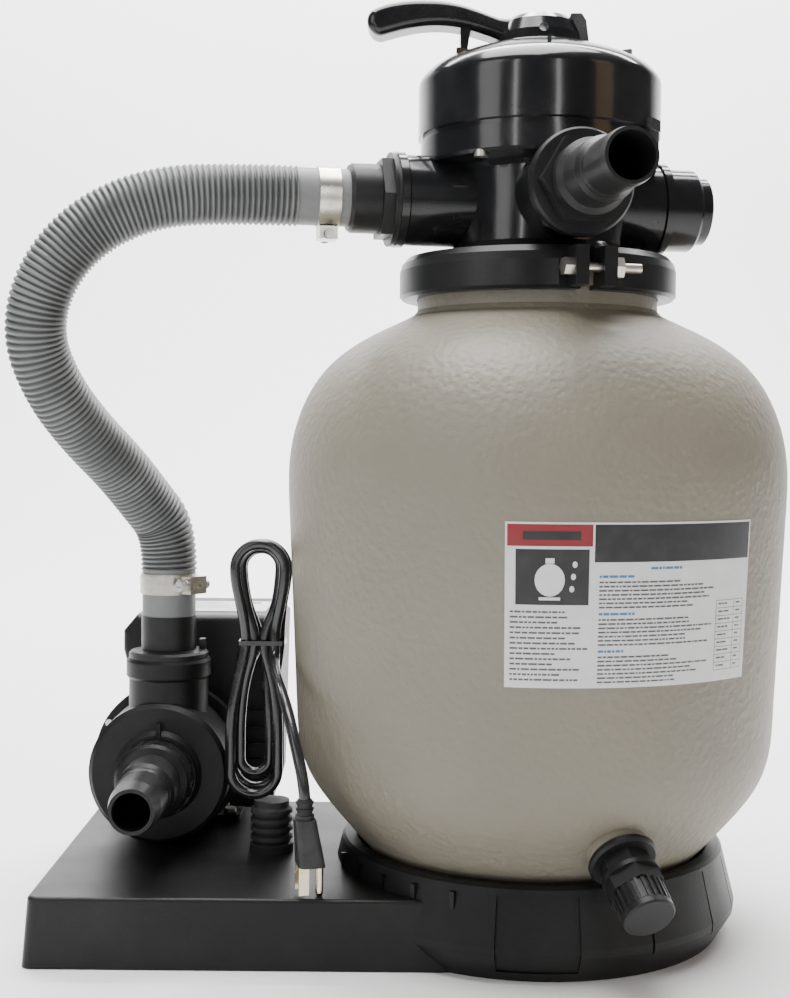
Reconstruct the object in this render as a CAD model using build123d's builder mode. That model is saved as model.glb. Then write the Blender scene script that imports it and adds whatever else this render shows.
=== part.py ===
from build123d import *

import math
import os

# A sand filter with its pump on one moulded base. Millimetres, +Z up.
# The origin is on the floor, on the tank's vertical axis. The pump stands at -X, the front is -Y.

os.makedirs("parts", exist_ok=True)

# Base
base_left = -320.0
base_front = -111.0
base_back = 140.0
deck_top = 43.0
base_wall = 4.0
base_draft = 4.0
collar_inner_r = 118.0
collar_top = 58.0
tank_seat = 30.0

# Tank
tank_wall = 4.0
tank_foot_r = 72.0
side_low = (158.6, 137.0)
side_high = (164.8, 278.0)
neck_r = 80.0
neck_bore_r = 74.0
neck_top = 430.0
neck_flange_r = 86.0
neck_flange_low = 420.0

# Valve
valve_turn = 11.0
port_height = 481.0
port_bore_r = 18.0
waste_bore_r = 20.0
waste_bore_start = 56.0
waste_end = 116.0
port_stub_r = 29.5
port_ends = {"pump": 98.0, "return": 86.0, "waste": 86.0}
port_thread_r = 21.0
body_r = 57.0
body_top = 522.0
lid_r = 80.5
lid_wall_top = 557.0
lid_crown = 584.0
seam_r = 77.6
seam_half = 1.6
rotor_shaft_r = 8.0
running_gap = 0.06

# Handle
pin_height = 592.0
pin_r = 3.0

# Clamp ring
clamp_r = 92.0
clamp_low = 417.0
clamp_high = 444.0
clamp_split = -75.0
clamp_gap = 10.0
clamp_bolt_r = 3.0

# Hose
hose_od = 39.0
hose_id = 33.0
cuff_od = 37.0
barb_r = 16.0
cuff_length = 34.0
cuff_start = 129.0
return_bore_r = 13.8
return_end = 182.0

# Pump
pump_x = -254.0
pump_height = 94.0
outlet_x = -251.5
outlet_y = 33.4
outlet_axis = (outlet_x, outlet_y, 0)
outlet_pipe_r = 27.5
outlet_cuff_low = 199.5
outlet_cuff_high = 232.0
outlet_collar_top = 170.0
volute_front = 2.0
volute_back = 61.0
flange_r = 53.5
barrel_r = 50.0
motor_back = 196.0
shaft_r = 6.0
volute_screw_circle = 50.0
foot_y = 112.0
foot_size = (96.0, 70.0)
foot_holes = (80.0, 50.0)

# Drain
drain_turn = -73.0
drain_slope = 33.0
drain_radius = 138.0
drain_height = 81.0
drain_nose_r = 9.0

# Mains lead
lead_d = 7.2
hank_front = -9.0
hank_back = 9.0
hank_x = -186.0
post_x = -176.0
post_top = 78.0
lead_out = (-200.0, 56.0, 164.0)
plug_x = -147.5
plug_y = -100.5


def heading(angle, slope=0.0):
    """A unit vector at an angle from +X about Z, tipped down by slope."""
    turn = math.radians(angle)
    dip = math.radians(slope)
    return Vector(math.cos(turn) * math.cos(dip), math.sin(turn) * math.cos(dip), -math.sin(dip))


def write_piece(piece, node):
    """Label a finished piece and write it as its own STEP file."""
    piece.part.label = node
    export_step(piece.part, "parts/" + node + ".step")


def turned(profile, start=(0, 0, 0), along=(0, 0, 1), mode=Mode.ADD, arc=360.0, begin=0.0):
    """Revolve (radius, distance) pairs about the line from start along a direction."""
    start = Vector(*start)
    along = Vector(*along).normalized()
    side = Vector(1, 0, 0) if abs(along.Z) > 0.99 else Vector(0, 0, 1).cross(along).normalized()
    side = side.rotate(Axis((0, 0, 0), along), begin)
    with BuildSketch(Plane(origin=start, x_dir=side, z_dir=side.cross(along))) as outline:
        with BuildLine():
            Polyline(*profile, close=True)
        make_face()
    revolve(outline.sketch, axis=Axis(start, along), revolution_arc=arc, mode=mode)


def tube_profile(outer, inner, low, high):
    """The half section of a plain ring or pipe."""
    return [(inner, low), (outer, low), (outer, high), (inner, high)]


def disc_profile(radius, low, high):
    """The half section of a plain disc or rod."""
    return [(0, low), (radius, low), (radius, high), (0, high)]


def hex_bar(across_flats, low, high, start, along):
    """A hexagonal bar from low to high along a line."""
    start = Vector(*start)
    along = Vector(*along).normalized()
    with BuildSketch(Plane(origin=start + along * low, z_dir=along)) as hexagon:
        RegularPolygon(across_flats / 2, 6, major_radius=False)
    extrude(hexagon.sketch, amount=high - low)


def ring_gasket(outer, inner, low, high, start=(0, 0, 0), along=(0, 0, 1)):
    """A flat sealing ring of rectangular section with eased edges."""
    turned(tube_profile(outer, inner, low, high), start, along)


# ---------------------------------------------------------------- base moulding

with BuildPart() as base_cells:
    # The hollow under the deck, left open below and divided by ribs.
    with BuildSketch(Plane.XY):
        with Locations(((base_left + base_wall - 40) / 2, (base_front + base_back) / 2)):
            Rectangle(-40 - base_left - base_wall, base_back - base_front - 2 * base_wall)
    extrude(amount=deck_top - base_wall, taper=base_draft)
    turned(disc_profile(collar_inner_r + 4, -1, deck_top), mode=Mode.SUBTRACT)
    for rib_x in (-265, -205, -145):
        with Locations((rib_x, 0, 14)):
            Box(3, 300, 28.2, mode=Mode.SUBTRACT)
    for rib_y in (-50, 15, 80):
        with Locations((-200, rib_y, 14)):
            Box(300, 3, 28.2, mode=Mode.SUBTRACT)

with BuildPart() as foot_cells:
    # The hollow under the tank's seat, with a cross of ribs whose foot is at the origin.
    turned([(20, -1), (113, -1), (113, tank_seat - base_wall), (20, tank_seat - base_wall)])
    turned([(0, -1), (17, -1), (17, tank_seat - base_wall), (0, tank_seat - base_wall)])
    # Narrow trough under the collar.
    turned([(118, -1), (121, -1), (131.5, 18), (131.5, 23), (124.5, 50), (122, 50), (122, 22), (118, 22)])
    Box(300, 4, 110, mode=Mode.SUBTRACT)
    Box(4, 300, 110, mode=Mode.SUBTRACT)

with BuildPart() as base:
    with BuildSketch(Plane.XY):
        with Locations((base_left / 2 - 15, (base_front + base_back) / 2)):
            Rectangle(-base_left - 30, base_back - base_front)
    extrude(amount=deck_top, taper=base_draft)
    deck_corners = base.edges().filter_by(lambda e: e.length < 50 and e.center().X < -250)
    deck_corners = deck_corners.filter_by(lambda e: abs(e.center().Z - deck_top / 2) < 2)
    fillet(deck_corners, radius=7)
    fillet(base.faces().sort_by(Axis.Z)[-1].edges(), radius=2.5)
    foot_ring = [(0, 0), (125, 0), (135.5, 17), (136, 22), (127.5, 56), (125.5, 58)]
    turned(foot_ring + [(collar_inner_r, collar_top), (collar_inner_r, tank_seat), (0, tank_seat)])
    turned(disc_profile(collar_inner_r, tank_seat, 90), mode=Mode.SUBTRACT)
    add(base_cells.part, mode=Mode.SUBTRACT)
    add(foot_cells.part, mode=Mode.SUBTRACT)
    # Shallow panel between two seams on the front of the foot ring.
    turned([(127.6, 6), (134.4, 19), (126.6, 52), (141, 52), (141, 6)], mode=Mode.SUBTRACT,
           arc=22, begin=-104)
    for seam in (-62, -38, -20):
        turned([(134, 3), (134, 21), (126, 54), (140, 54), (140, 3)], mode=Mode.SUBTRACT,
               arc=0.6, begin=seam)
    # Ledge ribs on top of the collar at the pump side.
    for step in range(5):
        with BuildSketch(Plane.XY.offset(deck_top - 1)) as ledge:
            with Locations(heading(196 + 12 * step) * 128.5):
                Rectangle(7, 3, rotation=196 + 12 * step)
        extrude(ledge.sketch, amount=10)

write_piece(base, "base")

with BuildPart() as ribbed_post:
    # Ribbed rubber post on the deck that the folded lead rests on.
    post_profile = [(0, deck_top), (15, deck_top), (15, deck_top + 6)]
    for ring in range(4):
        ring_low = deck_top + 6 + ring * 6
        post_profile += [(12.5, ring_low + 0.5), (12.5, ring_low + 2.5), (14.5, ring_low + 3)]
        post_profile += [(14, ring_low + 5.5)]
    post_profile += [(12, deck_top + 31), (12, post_top), (0, post_top)]
    turned(post_profile, (post_x, 0, 0))

write_piece(ribbed_post, "ribbed_post")


# ---------------------------------------------------------------- tank

side_slope = Vector(side_high[0] - side_low[0], side_high[1] - side_low[1]).normalized()
drain_way = heading(drain_turn, drain_slope)
drain_start = heading(drain_turn) * drain_radius + Vector(0, 0, drain_height)


def set_back(curve, depth):
    """A smooth curve set back from another towards the tank's inside."""
    spots = []
    for step in range(9):
        tangent = curve % (step / 8)
        spots.append(curve @ (step / 8) + Vector(-tangent.Y, tangent.X) * depth)
    return Spline(*spots, tangents=[curve % 0, curve % 1])


def tank_section(depth=0.0):
    """The half section of the tank from its axis, or of the space a depth inside its surface."""
    with BuildLine():
        bowl = Spline((tank_foot_r, tank_seat), (117.5, 60), (142, 89), side_low,
                      tangents=[(1, 0.1), side_slope])
        shoulder = Spline(side_high, (165, 308), (158.6, 339), (134.8, 376), (105.7, 395), (83, 406),
                          tangents=[side_slope, (-0.86, 0.45)])
    with BuildSketch(Plane.XZ) as section:
        with BuildLine():
            lower = set_back(bowl, depth) if depth else add(bowl)
            upper = set_back(shoulder, depth) if depth else add(shoulder)
            lower_end = bowl @ 1 if not depth else lower @ 1
            upper_start = side_high if not depth else upper @ 0
            Line(lower_end, upper_start)
            foot = bowl @ 0 if not depth else lower @ 0
            top = shoulder @ 1 if not depth else upper @ 1
            Polyline(top, (neck_r - depth, 409.5 - depth), (neck_r - depth, neck_top), (0, neck_top),
                     (0, foot.Y), foot)
        make_face()
    return section.sketch


with BuildPart() as tank_shell:
    revolve(tank_section(), axis=Axis.Z)
    turned(tube_profile(neck_flange_r, neck_r - 1, neck_flange_low, neck_top))
    revolve(tank_section(tank_wall), axis=Axis.Z, mode=Mode.SUBTRACT)
    turned(disc_profile(neck_bore_r, 400, neck_top + 1), mode=Mode.SUBTRACT)
    # Thick boss that the drain spigot passes through.
    turned([(0, -8), (19, -8), (19, 1), (17.5, 4), (0, 4)], drain_start, drain_way)
    turned(disc_profile(12.2, -20, 10), drain_start, drain_way, mode=Mode.SUBTRACT)

write_piece(tank_shell, "tank_shell")

with BuildPart() as tank_gasket:
    ring_gasket(neck_bore_r + 6, neck_bore_r, neck_top, neck_top + 1)

write_piece(tank_gasket, "tank_gasket")


# ---------------------------------------------------------------- inside the tank

hub_low = 44.0
hub_high = 74.0
finger_height = 59.0
finger_count = 8
sand_level = 282.0

with BuildPart() as lateral_hub:
    turned([(0, hub_low), (24, hub_low), (26, hub_low + 3), (26, hub_high - 4), (22, hub_high),
            (21, hub_high), (21, hub_high + 14), (0, hub_high + 14)])
    turned(disc_profile(16.6, hub_low + 4, hub_high + 15), mode=Mode.SUBTRACT)
    for spoke in range(finger_count):
        turned(disc_profile(6.05, 12, 30), (0, 0, finger_height), heading(45 * spoke + 22.5),
               mode=Mode.SUBTRACT)

write_piece(lateral_hub, "lateral_hub")

with BuildPart() as laterals:
    # Slotted fingers that screw into the hub and gather the filtered water.
    for spoke in range(finger_count):
        way = heading(45 * spoke + 22.5)
        turned([(4, 18), (6, 18), (6, 27), (8, 27), (8, 92), (6.5, 94), (0, 94), (0, 90), (4, 90)],
               (0, 0, finger_height), way)
    for slot in range(9):
        turned(tube_profile(34 + 7 * slot + 0.8, 34 + 7 * slot, finger_height + 3.5, finger_height + 9),
               mode=Mode.SUBTRACT)

write_piece(laterals, "laterals")

with BuildPart() as standpipe:
    turned(tube_profile(16.5, 14, hub_low + 4, 446))

write_piece(standpipe, "standpipe")

with BuildPart() as sand_bed:
    # The charge of filter sand, up to the working level.
    revolve(tank_section(tank_wall + 0.4), axis=Axis.Z)
    turned(disc_profile(200, sand_level, 440), mode=Mode.SUBTRACT)
    turned(disc_profile(21.4, hub_high - 2, 300), mode=Mode.SUBTRACT)
    turned(disc_profile(26.4, 30, hub_high + 0.4), mode=Mode.SUBTRACT)
    for spoke in range(finger_count):
        turned(disc_profile(8.4, 20, 94.4), (0, 0, finger_height), heading(45 * spoke + 22.5),
               mode=Mode.SUBTRACT)
    turned(disc_profile(21.5, -34, 10), drain_start, drain_way, mode=Mode.SUBTRACT)

write_piece(sand_bed, "sand_bed")


# ---------------------------------------------------------------- drain

with BuildPart() as drain_spigot:
    turned([(6, -12), (11.9, -12), (11.9, 5.2), (21, 5.2), (21, 7.5), (19.5, 9), (6, 9)],
           drain_start, drain_way)
    hex_bar(27, 9, 17.5, drain_start, drain_way)
    turned(disc_profile(drain_nose_r, 17.5, 38), drain_start, drain_way)
    turned(disc_profile(6, -13, 40), drain_start, drain_way, mode=Mode.SUBTRACT)

write_piece(drain_spigot, "drain_spigot")

with BuildPart() as drain_strainer:
    # Slotted cap that keeps the sand in when the tank is drained.
    turned([(0, -31), (11.9, -31), (11.9, -12), (9.5, -12), (9.5, -28.5), (0, -28.5)],
           drain_start, drain_way)
    for slot in range(4):
        turned(tube_profile(13, 10.3, -28 + 4 * slot, -27 + 4 * slot), drain_start, drain_way,
               mode=Mode.SUBTRACT)

write_piece(drain_strainer, "drain_strainer")

with BuildPart() as drain_cap_seal:
    ring_gasket(drain_nose_r - 0.2, 5.8, 38.1, 40.4, drain_start, drain_way)

write_piece(drain_cap_seal, "drain_cap_seal")

with BuildPart() as drain_cap:
    turned([(0, 19), (17.5, 19), (17.5, 22), (0, 22)], drain_start, drain_way)
    hex_bar(30, 22, 31, drain_start, drain_way)
    turned([(0, 31), (14.6, 31), (14.6, 44), (15.6, 45), (15.6, 48.5), (14.6, 49.5), (0, 49.5)],
           drain_start, drain_way)
    cap_plane = Plane(origin=drain_start + drain_way * 31, z_dir=drain_way)
    with BuildSketch(cap_plane) as grip_ribs:
        with PolarLocations(14.9, 24):
            Rectangle(1.8, 1.8)
    extrude(grip_ribs.sketch, amount=14)
    turned(disc_profile(drain_nose_r + running_gap, 18, 40.5), drain_start, drain_way,
           mode=Mode.SUBTRACT)

write_piece(drain_cap, "drain_cap")


# ---------------------------------------------------------------- valve body

ports = {"pump": heading(180 + valve_turn), "return": heading(-90 + valve_turn), "waste": heading(valve_turn)}
port_centre = (0, 0, port_height)
lid_screw_angles = (56, 81, 121, 146, 236, 326)
screw_circle_r = 74.5

with BuildPart() as valve_channels:
    # Six channels round the middle pipe, split by radial walls.
    turned([(21, 414), (69, 414), (69, 441), (51, 453), (51, 497), (21, 497)])
    for wall in range(6):
        with BuildSketch(Plane.XY.offset(441)) as web:
            with Locations(heading(60 * wall + valve_turn + 30) * 45):
                Rectangle(60, 3, rotation=60 * wall + valve_turn + 30)
        extrude(web.sketch, amount=70, mode=Mode.SUBTRACT)

with BuildPart() as valve_body:
    turned([(0, 415), (73.4, 415), (73.4, 431), (86, 431), (86, 440), (84, 441), (74, 443), (62, 447),
            (body_r, 452), (body_r, 499), (60, 502), (77, 504), (79, 506), (79, body_top - seam_half),
            (seam_r, body_top - seam_half), (seam_r, body_top), (0, body_top)])
    for name, way in ports.items():
        end = port_ends[name]
        turned([(0, 40), (port_stub_r, 40), (port_stub_r, end - 6), (port_stub_r + 1.5, end - 5),
                (port_stub_r + 1.5, end), (0, end)], port_centre, way)
    waste = ports["waste"]
    turned([(0, 80), (27.5, 80), (27.5, 106), (26, 108), (22.5, 108.5), (22.5, waste_end), (0, waste_end)],
           port_centre, waste)
    # Lug that carries the front lid screw.
    with BuildSketch(Plane.XY.offset(512)) as lug:
        with Locations(heading(326) * 78):
            Rectangle(12, 13, rotation=326)
    extrude(lug.sketch, amount=body_top - 512)
    add(valve_channels.part, mode=Mode.SUBTRACT)
    turned(disc_profile(14, 414, 497), mode=Mode.SUBTRACT)
    turned(disc_profile(16.6, 414, 446), mode=Mode.SUBTRACT)
    turned(disc_profile(63, 508, body_top + 1), mode=Mode.SUBTRACT)
    turned(tube_profile(71, 67.6, 519.6, body_top + 1), mode=Mode.SUBTRACT)
    for window in range(6):
        window_spot = heading(60 * window + valve_turn) * 38
        turned(disc_profile(9.5, 490, 510), window_spot, mode=Mode.SUBTRACT)
    turned(disc_profile(10, 490, 510), mode=Mode.SUBTRACT)
    for name in ("pump", "return"):
        turned(disc_profile(port_bore_r, 30, 130), port_centre, ports[name], mode=Mode.SUBTRACT)
        turned(disc_profile(port_thread_r + 0.3, port_ends[name] - 20, port_ends[name] + 4), port_centre,
               ports[name], mode=Mode.SUBTRACT)
    turned(disc_profile(waste_bore_r + 2, 30, waste_bore_start), port_centre, waste, mode=Mode.SUBTRACT)
    turned(disc_profile(waste_bore_r, 30, waste_end + 2), port_centre, waste, mode=Mode.SUBTRACT)
    for angle in lid_screw_angles:
        spot = heading(angle) * screw_circle_r
        turned(disc_profile(2.2, 500, 530), spot, mode=Mode.SUBTRACT)
        turned(disc_profile(4.8, 490, 512 if angle == 326 else 505.5), spot, mode=Mode.SUBTRACT)

write_piece(valve_body, "valve_body")

with BuildPart() as spider_gasket:
    # Soft gasket with a ring and six spokes that seals between the channels.
    turned(tube_profile(62, 51, 508, 510))
    turned(tube_profile(16, 12, 508, 510))
    for spoke in range(6):
        with BuildSketch(Plane.XY.offset(508)) as arm:
            with Locations(heading(60 * spoke + valve_turn + 30) * 33.5):
                Rectangle(37, 4, rotation=60 * spoke + valve_turn + 30)
        extrude(arm.sketch, amount=2)

write_piece(spider_gasket, "spider_gasket")

with BuildPart() as rotor:
    # Diverter: a disc with one open window and one bridging pocket, and its shaft.
    turned([(0, 510.1), (60, 510.1), (60, 516), (40, 520), (16, 524), (11.5, 526), (11.5, 531),
            (rotor_shaft_r, 531), (rotor_shaft_r, 600), (0, 600)])
    turned(disc_profile(9.5, 505, 530), heading(valve_turn) * 38, mode=Mode.SUBTRACT)
    for pocket in (60, 120):
        turned(disc_profile(9.5, 505, 515), heading(valve_turn + pocket) * 38, mode=Mode.SUBTRACT)
    turned(disc_profile(pin_r, -10, 10), (0, 0, pin_height), (0, 1, 0), mode=Mode.SUBTRACT)
    for groove_low in (572, 577):
        turned(tube_profile(9, 6.2, groove_low, groove_low + 2), mode=Mode.SUBTRACT)

write_piece(rotor, "rotor")

with BuildPart() as shaft_rings:
    for groove_low in (572, 577):
        ring_gasket(rotor_shaft_r - 0.02, 6.2, groove_low, groove_low + 2)

write_piece(shaft_rings, "shaft_rings")

spring_low = 527.0
spring_high = 566.0
spring_turns = 5

with BuildPart() as rotor_spring:
    # Compression spring that holds the rotor on its gasket, with flat ground ends.
    coil = Helix(pitch=(spring_high - spring_low - 5) / spring_turns,
                 height=spring_high - spring_low - 5, radius=14.5,
                 center=(0, 0, spring_low + 2.5))
    with BuildSketch(Plane(origin=coil @ 0, z_dir=coil % 0)) as wire:
        Circle(1.4)
    sweep(wire.sketch, path=coil)
    turned(tube_profile(16, 13, spring_low, spring_low + 2.2))
    turned(tube_profile(16, 13, spring_high - 2.2, spring_high))

write_piece(rotor_spring, "rotor_spring")

with BuildPart() as lid_gasket:
    ring_gasket(71, 67.6, 519.6, body_top)

write_piece(lid_gasket, "lid_gasket")

with BuildPart() as valve_lid:
    with BuildSketch(Plane.XZ) as lid_face:
        with BuildLine():
            Polyline((0, body_top), (seam_r, body_top), (seam_r, body_top + seam_half),
                     (lid_r, body_top + seam_half + 0.6), (lid_r, lid_wall_top))
            Spline((lid_r, lid_wall_top), (78.5, 563), (70, 570.5), (50, 579), (36, 582.5),
                   tangents=[(0, 1), (-0.97, 0.24)])
            Polyline((36, 582.5), (35, lid_crown), (0, lid_crown), (0, body_top))
        make_face()
    revolve(lid_face.sketch, axis=Axis.Z)
    turned([(0, 520), (64, 520), (64, 550), (52, 562), (20, 568), (17, 571.5), (0, 571.5)],
           mode=Mode.SUBTRACT)
    turned(disc_profile(rotor_shaft_r + running_gap, 560, 590), mode=Mode.SUBTRACT)
    with BuildSketch(Plane.XY.offset(body_top)) as lid_lug:
        with Locations(heading(326) * 79):
            Rectangle(12, 13, rotation=326)
    extrude(lid_lug.sketch, amount=7)
    for angle in lid_screw_angles:
        turned(disc_profile(2.2, 520, 536), heading(angle) * screw_circle_r, mode=Mode.SUBTRACT)
    # Two low index ribs on the dome show the handle's working positions.
    for angle in range(0, 360, 60):
        with BuildSketch(Plane.XY.offset(566)) as index_rib:
            with Locations(heading(angle + 30) * 60):
                Rectangle(10, 2.4, rotation=angle + 30)
        extrude(index_rib.sketch, amount=10.8)

write_piece(valve_lid, "valve_lid")

with BuildPart() as lid_screws:
    for angle in lid_screw_angles:
        spot = heading(angle) * screw_circle_r
        low = 512 if angle == 326 else 505.5
        turned([(0, low - 4), (4.5, low - 4), (4.5, low), (2.2, low), (2.2, 535), (0, 535)], spot)

write_piece(lid_screws, "lid_screws")

with BuildPart() as cam_washer:
    # Thin slip washer between the handle and the lid, turning with the handle.
    turned(tube_profile(15, rotor_shaft_r + running_gap, lid_crown + 0.1, lid_crown + 1.2))

write_piece(cam_washer, "cam_washer")

with BuildPart() as handle:
    # Arched lever with a forked hub, drawn as a side view and given its width.
    lever_top = 614.0
    with BuildSketch(Plane.XZ) as lever_side:
        with BuildLine():
            upper = Spline((-113, 606), (-96, 612.5), (-74, lever_top), (-52, 611), (-30, 603.5),
                           (-14, 602.5), tangents=[(0.8, 0.6), (1, 0)])
            crown = Line(upper @ 1, (12, 603.5))
            nose = Polyline(crown @ 1, (20, 604), (26, 601), (28, lid_crown + 1.4),
                            (-22, lid_crown + 1.4))
            web = Spline(nose @ 1, (-38, 592), (-54, 596.2), (-70, 597.4), (-90, 594.8), (-106, 590.5),
                         tangents=[(-0.8, 0.5), (-1, -0.25)])
            ThreePointArc(web @ 1, (-114.6, 597), (-113, 606))
        make_face()
    extrude(lever_side.sketch, amount=13, both=True)
    lever_edges = handle.edges().filter_by(lambda e: e.center().X < -20 and abs(abs(e.center().Y) - 13) < 0.1)
    fillet(lever_edges.filter_by(lambda e: e.length > 12), radius=5.5)
    turned([(0, lid_crown + 1.4), (30, lid_crown + 1.4), (28.5, 592), (25, 600), (20, 603.8), (0, 604.2)])
    # Leg that stands on the dome and is the lever's fulcrum.
    with BuildSketch(Plane.XZ) as leg_side:
        with BuildLine():
            Polyline((-53.2, 578.7), (-48.7, 580.8), (-46.5, 596), (-50, 600), (-53.5, 599), close=True)
        make_face()
    extrude(leg_side.sketch, amount=10, both=True)
    # Ribbed thumb block at the back of the hub.
    with BuildSketch(Plane.XZ) as block_side:
        with BuildLine():
            Polyline((18, 602), (19, 604.5), (26, 604.5), (29, 600), (31, lid_crown + 1.4),
                     (20, lid_crown + 1.4), close=True)
        make_face()
    extrude(block_side.sketch, amount=15, both=True)
    for rib_y in (-10, -5, 0, 5, 10):
        with Locations((31, rib_y, 595)):
            Box(4, 2, 22, mode=Mode.SUBTRACT)
    # Slot for the rotor's shaft and the cross hole for the pin.
    turned(disc_profile(rotor_shaft_r + 2.2, 580, 602), mode=Mode.SUBTRACT)
    turned(disc_profile(pin_r + running_gap, -30, 30), (0, 0, pin_height), (0, 1, 0), mode=Mode.SUBTRACT)

write_piece(handle, "handle")

with BuildPart() as handle_pin:
    turned(disc_profile(pin_r, -22, 22), (0, 0, pin_height), (0, 1, 0))

write_piece(handle_pin, "handle_pin")


# ---------------------------------------------------------------- flange clamp

clamp_section = [(80.6, clamp_low), (90, clamp_low), (clamp_r, clamp_low + 2), (clamp_r, clamp_low + 18),
                 (90.5, clamp_high - 4), (87, clamp_high), (76, clamp_high), (76, 443.2), (84.4, 441.2),
                 (86.3, 440.2), (86.3, 419.7), (80.6, 419.7)]
lug_outer = 104.0
lug_inner = 87.2
lug_width = 8.5
bolt_radius = 97.0
bolt_height = 429.5
half_gap = clamp_gap / 2


def clamp_half(side):
    """One half ring with a lug at each end; side is +1 or -1 across the split line."""
    turned(clamp_section)
    for end in (clamp_split, clamp_split + 180):
        lug_plane = Plane.XY.rotated((0, 0, end)).offset(clamp_low + 1)
        with BuildSketch(lug_plane) as lug_block:
            with Locations(((lug_outer + lug_inner) / 2, 0)):
                Rectangle(lug_outer - lug_inner, 2 * (half_gap + lug_width))
        extrude(lug_block.sketch, amount=clamp_high - clamp_low - 3)
        tangent = heading(end + 90)
        # Pockets for the bolt head at one end and the nut at the other.
        with BuildSketch(lug_plane) as pocket:
            for across in (-1, 1):
                with Locations((100, across * (half_gap + lug_width + 16))):
                    Rectangle(20, 32)
        extrude(pocket.sketch, amount=clamp_high - clamp_low + 2, mode=Mode.SUBTRACT)
        bolt_spot = heading(end) * bolt_radius + Vector(0, 0, bolt_height)
        turned(disc_profile(clamp_bolt_r + 0.2, -30, 30), bolt_spot, tangent, mode=Mode.SUBTRACT)
        # Clear the gap between the two halves.
        gap_plane = Plane.XY.rotated((0, 0, end)).offset(clamp_low - 1)
        with BuildSketch(gap_plane) as gap:
            with Locations((90, 0)):
                Rectangle(60, clamp_gap)
        extrude(gap.sketch, amount=clamp_high - clamp_low + 4, mode=Mode.SUBTRACT)
    with BuildSketch(Plane.XY.rotated((0, 0, clamp_split)).offset(clamp_low - 5)) as far_side:
        with Locations((0, -side * 100)):
            Rectangle(300, 200)
    extrude(far_side.sketch, amount=50, mode=Mode.SUBTRACT)


with BuildPart() as clamp_half_right:
    clamp_half(1)

write_piece(clamp_half_right, "clamp_half_right")

with BuildPart() as clamp_half_left:
    clamp_half(-1)

write_piece(clamp_half_left, "clamp_half_left")

grip = half_gap + lug_width

with BuildPart() as clamp_bolts:
    for end in (clamp_split, clamp_split + 180):
        spot = heading(end) * bolt_radius + Vector(0, 0, bolt_height)
        run = heading(end + 90)
        hex_bar(10, -grip - 6, -grip, spot, run)
        turned(disc_profile(clamp_bolt_r, -grip, grip + 18), spot, run)

write_piece(clamp_bolts, "clamp_bolts")

with BuildPart() as clamp_nuts:
    for end in (clamp_split, clamp_split + 180):
        spot = heading(end) * bolt_radius + Vector(0, 0, bolt_height)
        run = heading(end + 90)
        hex_bar(12, grip, grip + 5.5, spot, run)
        turned(disc_profile(clamp_bolt_r, grip - 1, grip + 7), spot, run, mode=Mode.SUBTRACT)

write_piece(clamp_nuts, "clamp_nuts")


# ---------------------------------------------------------------- hose fittings on the valve

with BuildPart() as fitting_washers:
    # Flat rubber washers: one behind each screwed valve fitting and one behind the drain spigot.
    for name in ("pump", "return"):
        ring_gasket(29, 21.4, port_ends[name], port_ends[name] + 2, port_centre, ports[name])
    ring_gasket(20, 12.3, 4, 5.2, drain_start, drain_way)

write_piece(fitting_washers, "fitting_washers")

with BuildPart() as pump_port_adapter:
    way = ports["pump"]
    turned([(13, 80), (port_thread_r, 80), (port_thread_r, 100), (30.5, 100), (30.5, 102), (13, 102)],
           port_centre, way)
    hex_bar(49, 102, 109, port_centre, way)
    turned([(13, 109), (22.5, 109), (22.5, 127), (21, cuff_start), (barb_r, cuff_start), (barb_r, 155),
            (14.5, 159), (13, 159)], port_centre, way)
    turned(disc_profile(13, 60, 162), port_centre, way, mode=Mode.SUBTRACT)

write_piece(pump_port_adapter, "pump_port_adapter")

with BuildPart() as return_adapter:
    way = ports["return"]
    turned([(return_bore_r, 68), (port_thread_r, 68), (port_thread_r, 88), (32, 88), (33, 90), (33, 96),
            (31.5, 98), (return_bore_r, 98)], port_centre, way)
    hex_bar(50, 98, 107, port_centre, way)
    turned([(return_bore_r, 107), (23, 107), (23, 116), (19.5, 119), (19.5, 140), (17.5, 143), (17.5, 145),
            (16.6, 147), (16.6, 177), (15.8, return_end), (return_bore_r, return_end)], port_centre, way)
    turned(disc_profile(return_bore_r, 60, return_end + 2), port_centre, way, mode=Mode.SUBTRACT)

write_piece(return_adapter, "return_adapter")


# ---------------------------------------------------------------- hose, cuffs and clamps

hose_route = [(-160.0, -31.1, 481), (-204.2, -39.7, 481), (-250, -52, 476), (-290, -60, 456),
              (-316, -63, 423), (-325, -57, 387), (-315, -42, 354), (-299, -20, 327), (-280, 3, 303),
              (-266, 20, 281), (outlet_x, outlet_y, 259), (outlet_x, outlet_y, outlet_cuff_high)]


def smooth_path(points, title):
    """Straight runs joined by arcs as large as each pair of runs allows."""
    spots = [Vector(*p) for p in points]
    radii = []
    for before, corner, after in zip(spots, spots[1:], spots[2:]):
        turn = math.radians((corner - before).get_angle(after - corner))
        shorter = min((corner - before).length, (after - corner).length)
        radii.append(0.45 * shorter / math.tan(turn / 2))
    print(title, "radii", [round(r) for r in radii])
    return FilletPolyline(*spots, radius=radii)


with BuildPart() as hose:
    with BuildLine():
        hose_path = smooth_path(hose_route, "hose")
    with BuildSketch(Plane(origin=hose_path @ 0, z_dir=hose_path % 0)) as hose_section:
        Circle(hose_od / 2)
        Circle(hose_id / 2, mode=Mode.SUBTRACT)
    sweep(hose_section.sketch, path=hose_path, transition=Transition.ROUND)
    ring_area = math.pi * (hose_od**2 - hose_id**2) / 4
    print("hose volume", round(hose.part.volume), "section x length", round(ring_area * hose_path.length),
          "length", round(hose_path.length))

write_piece(hose, "hose")

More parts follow.
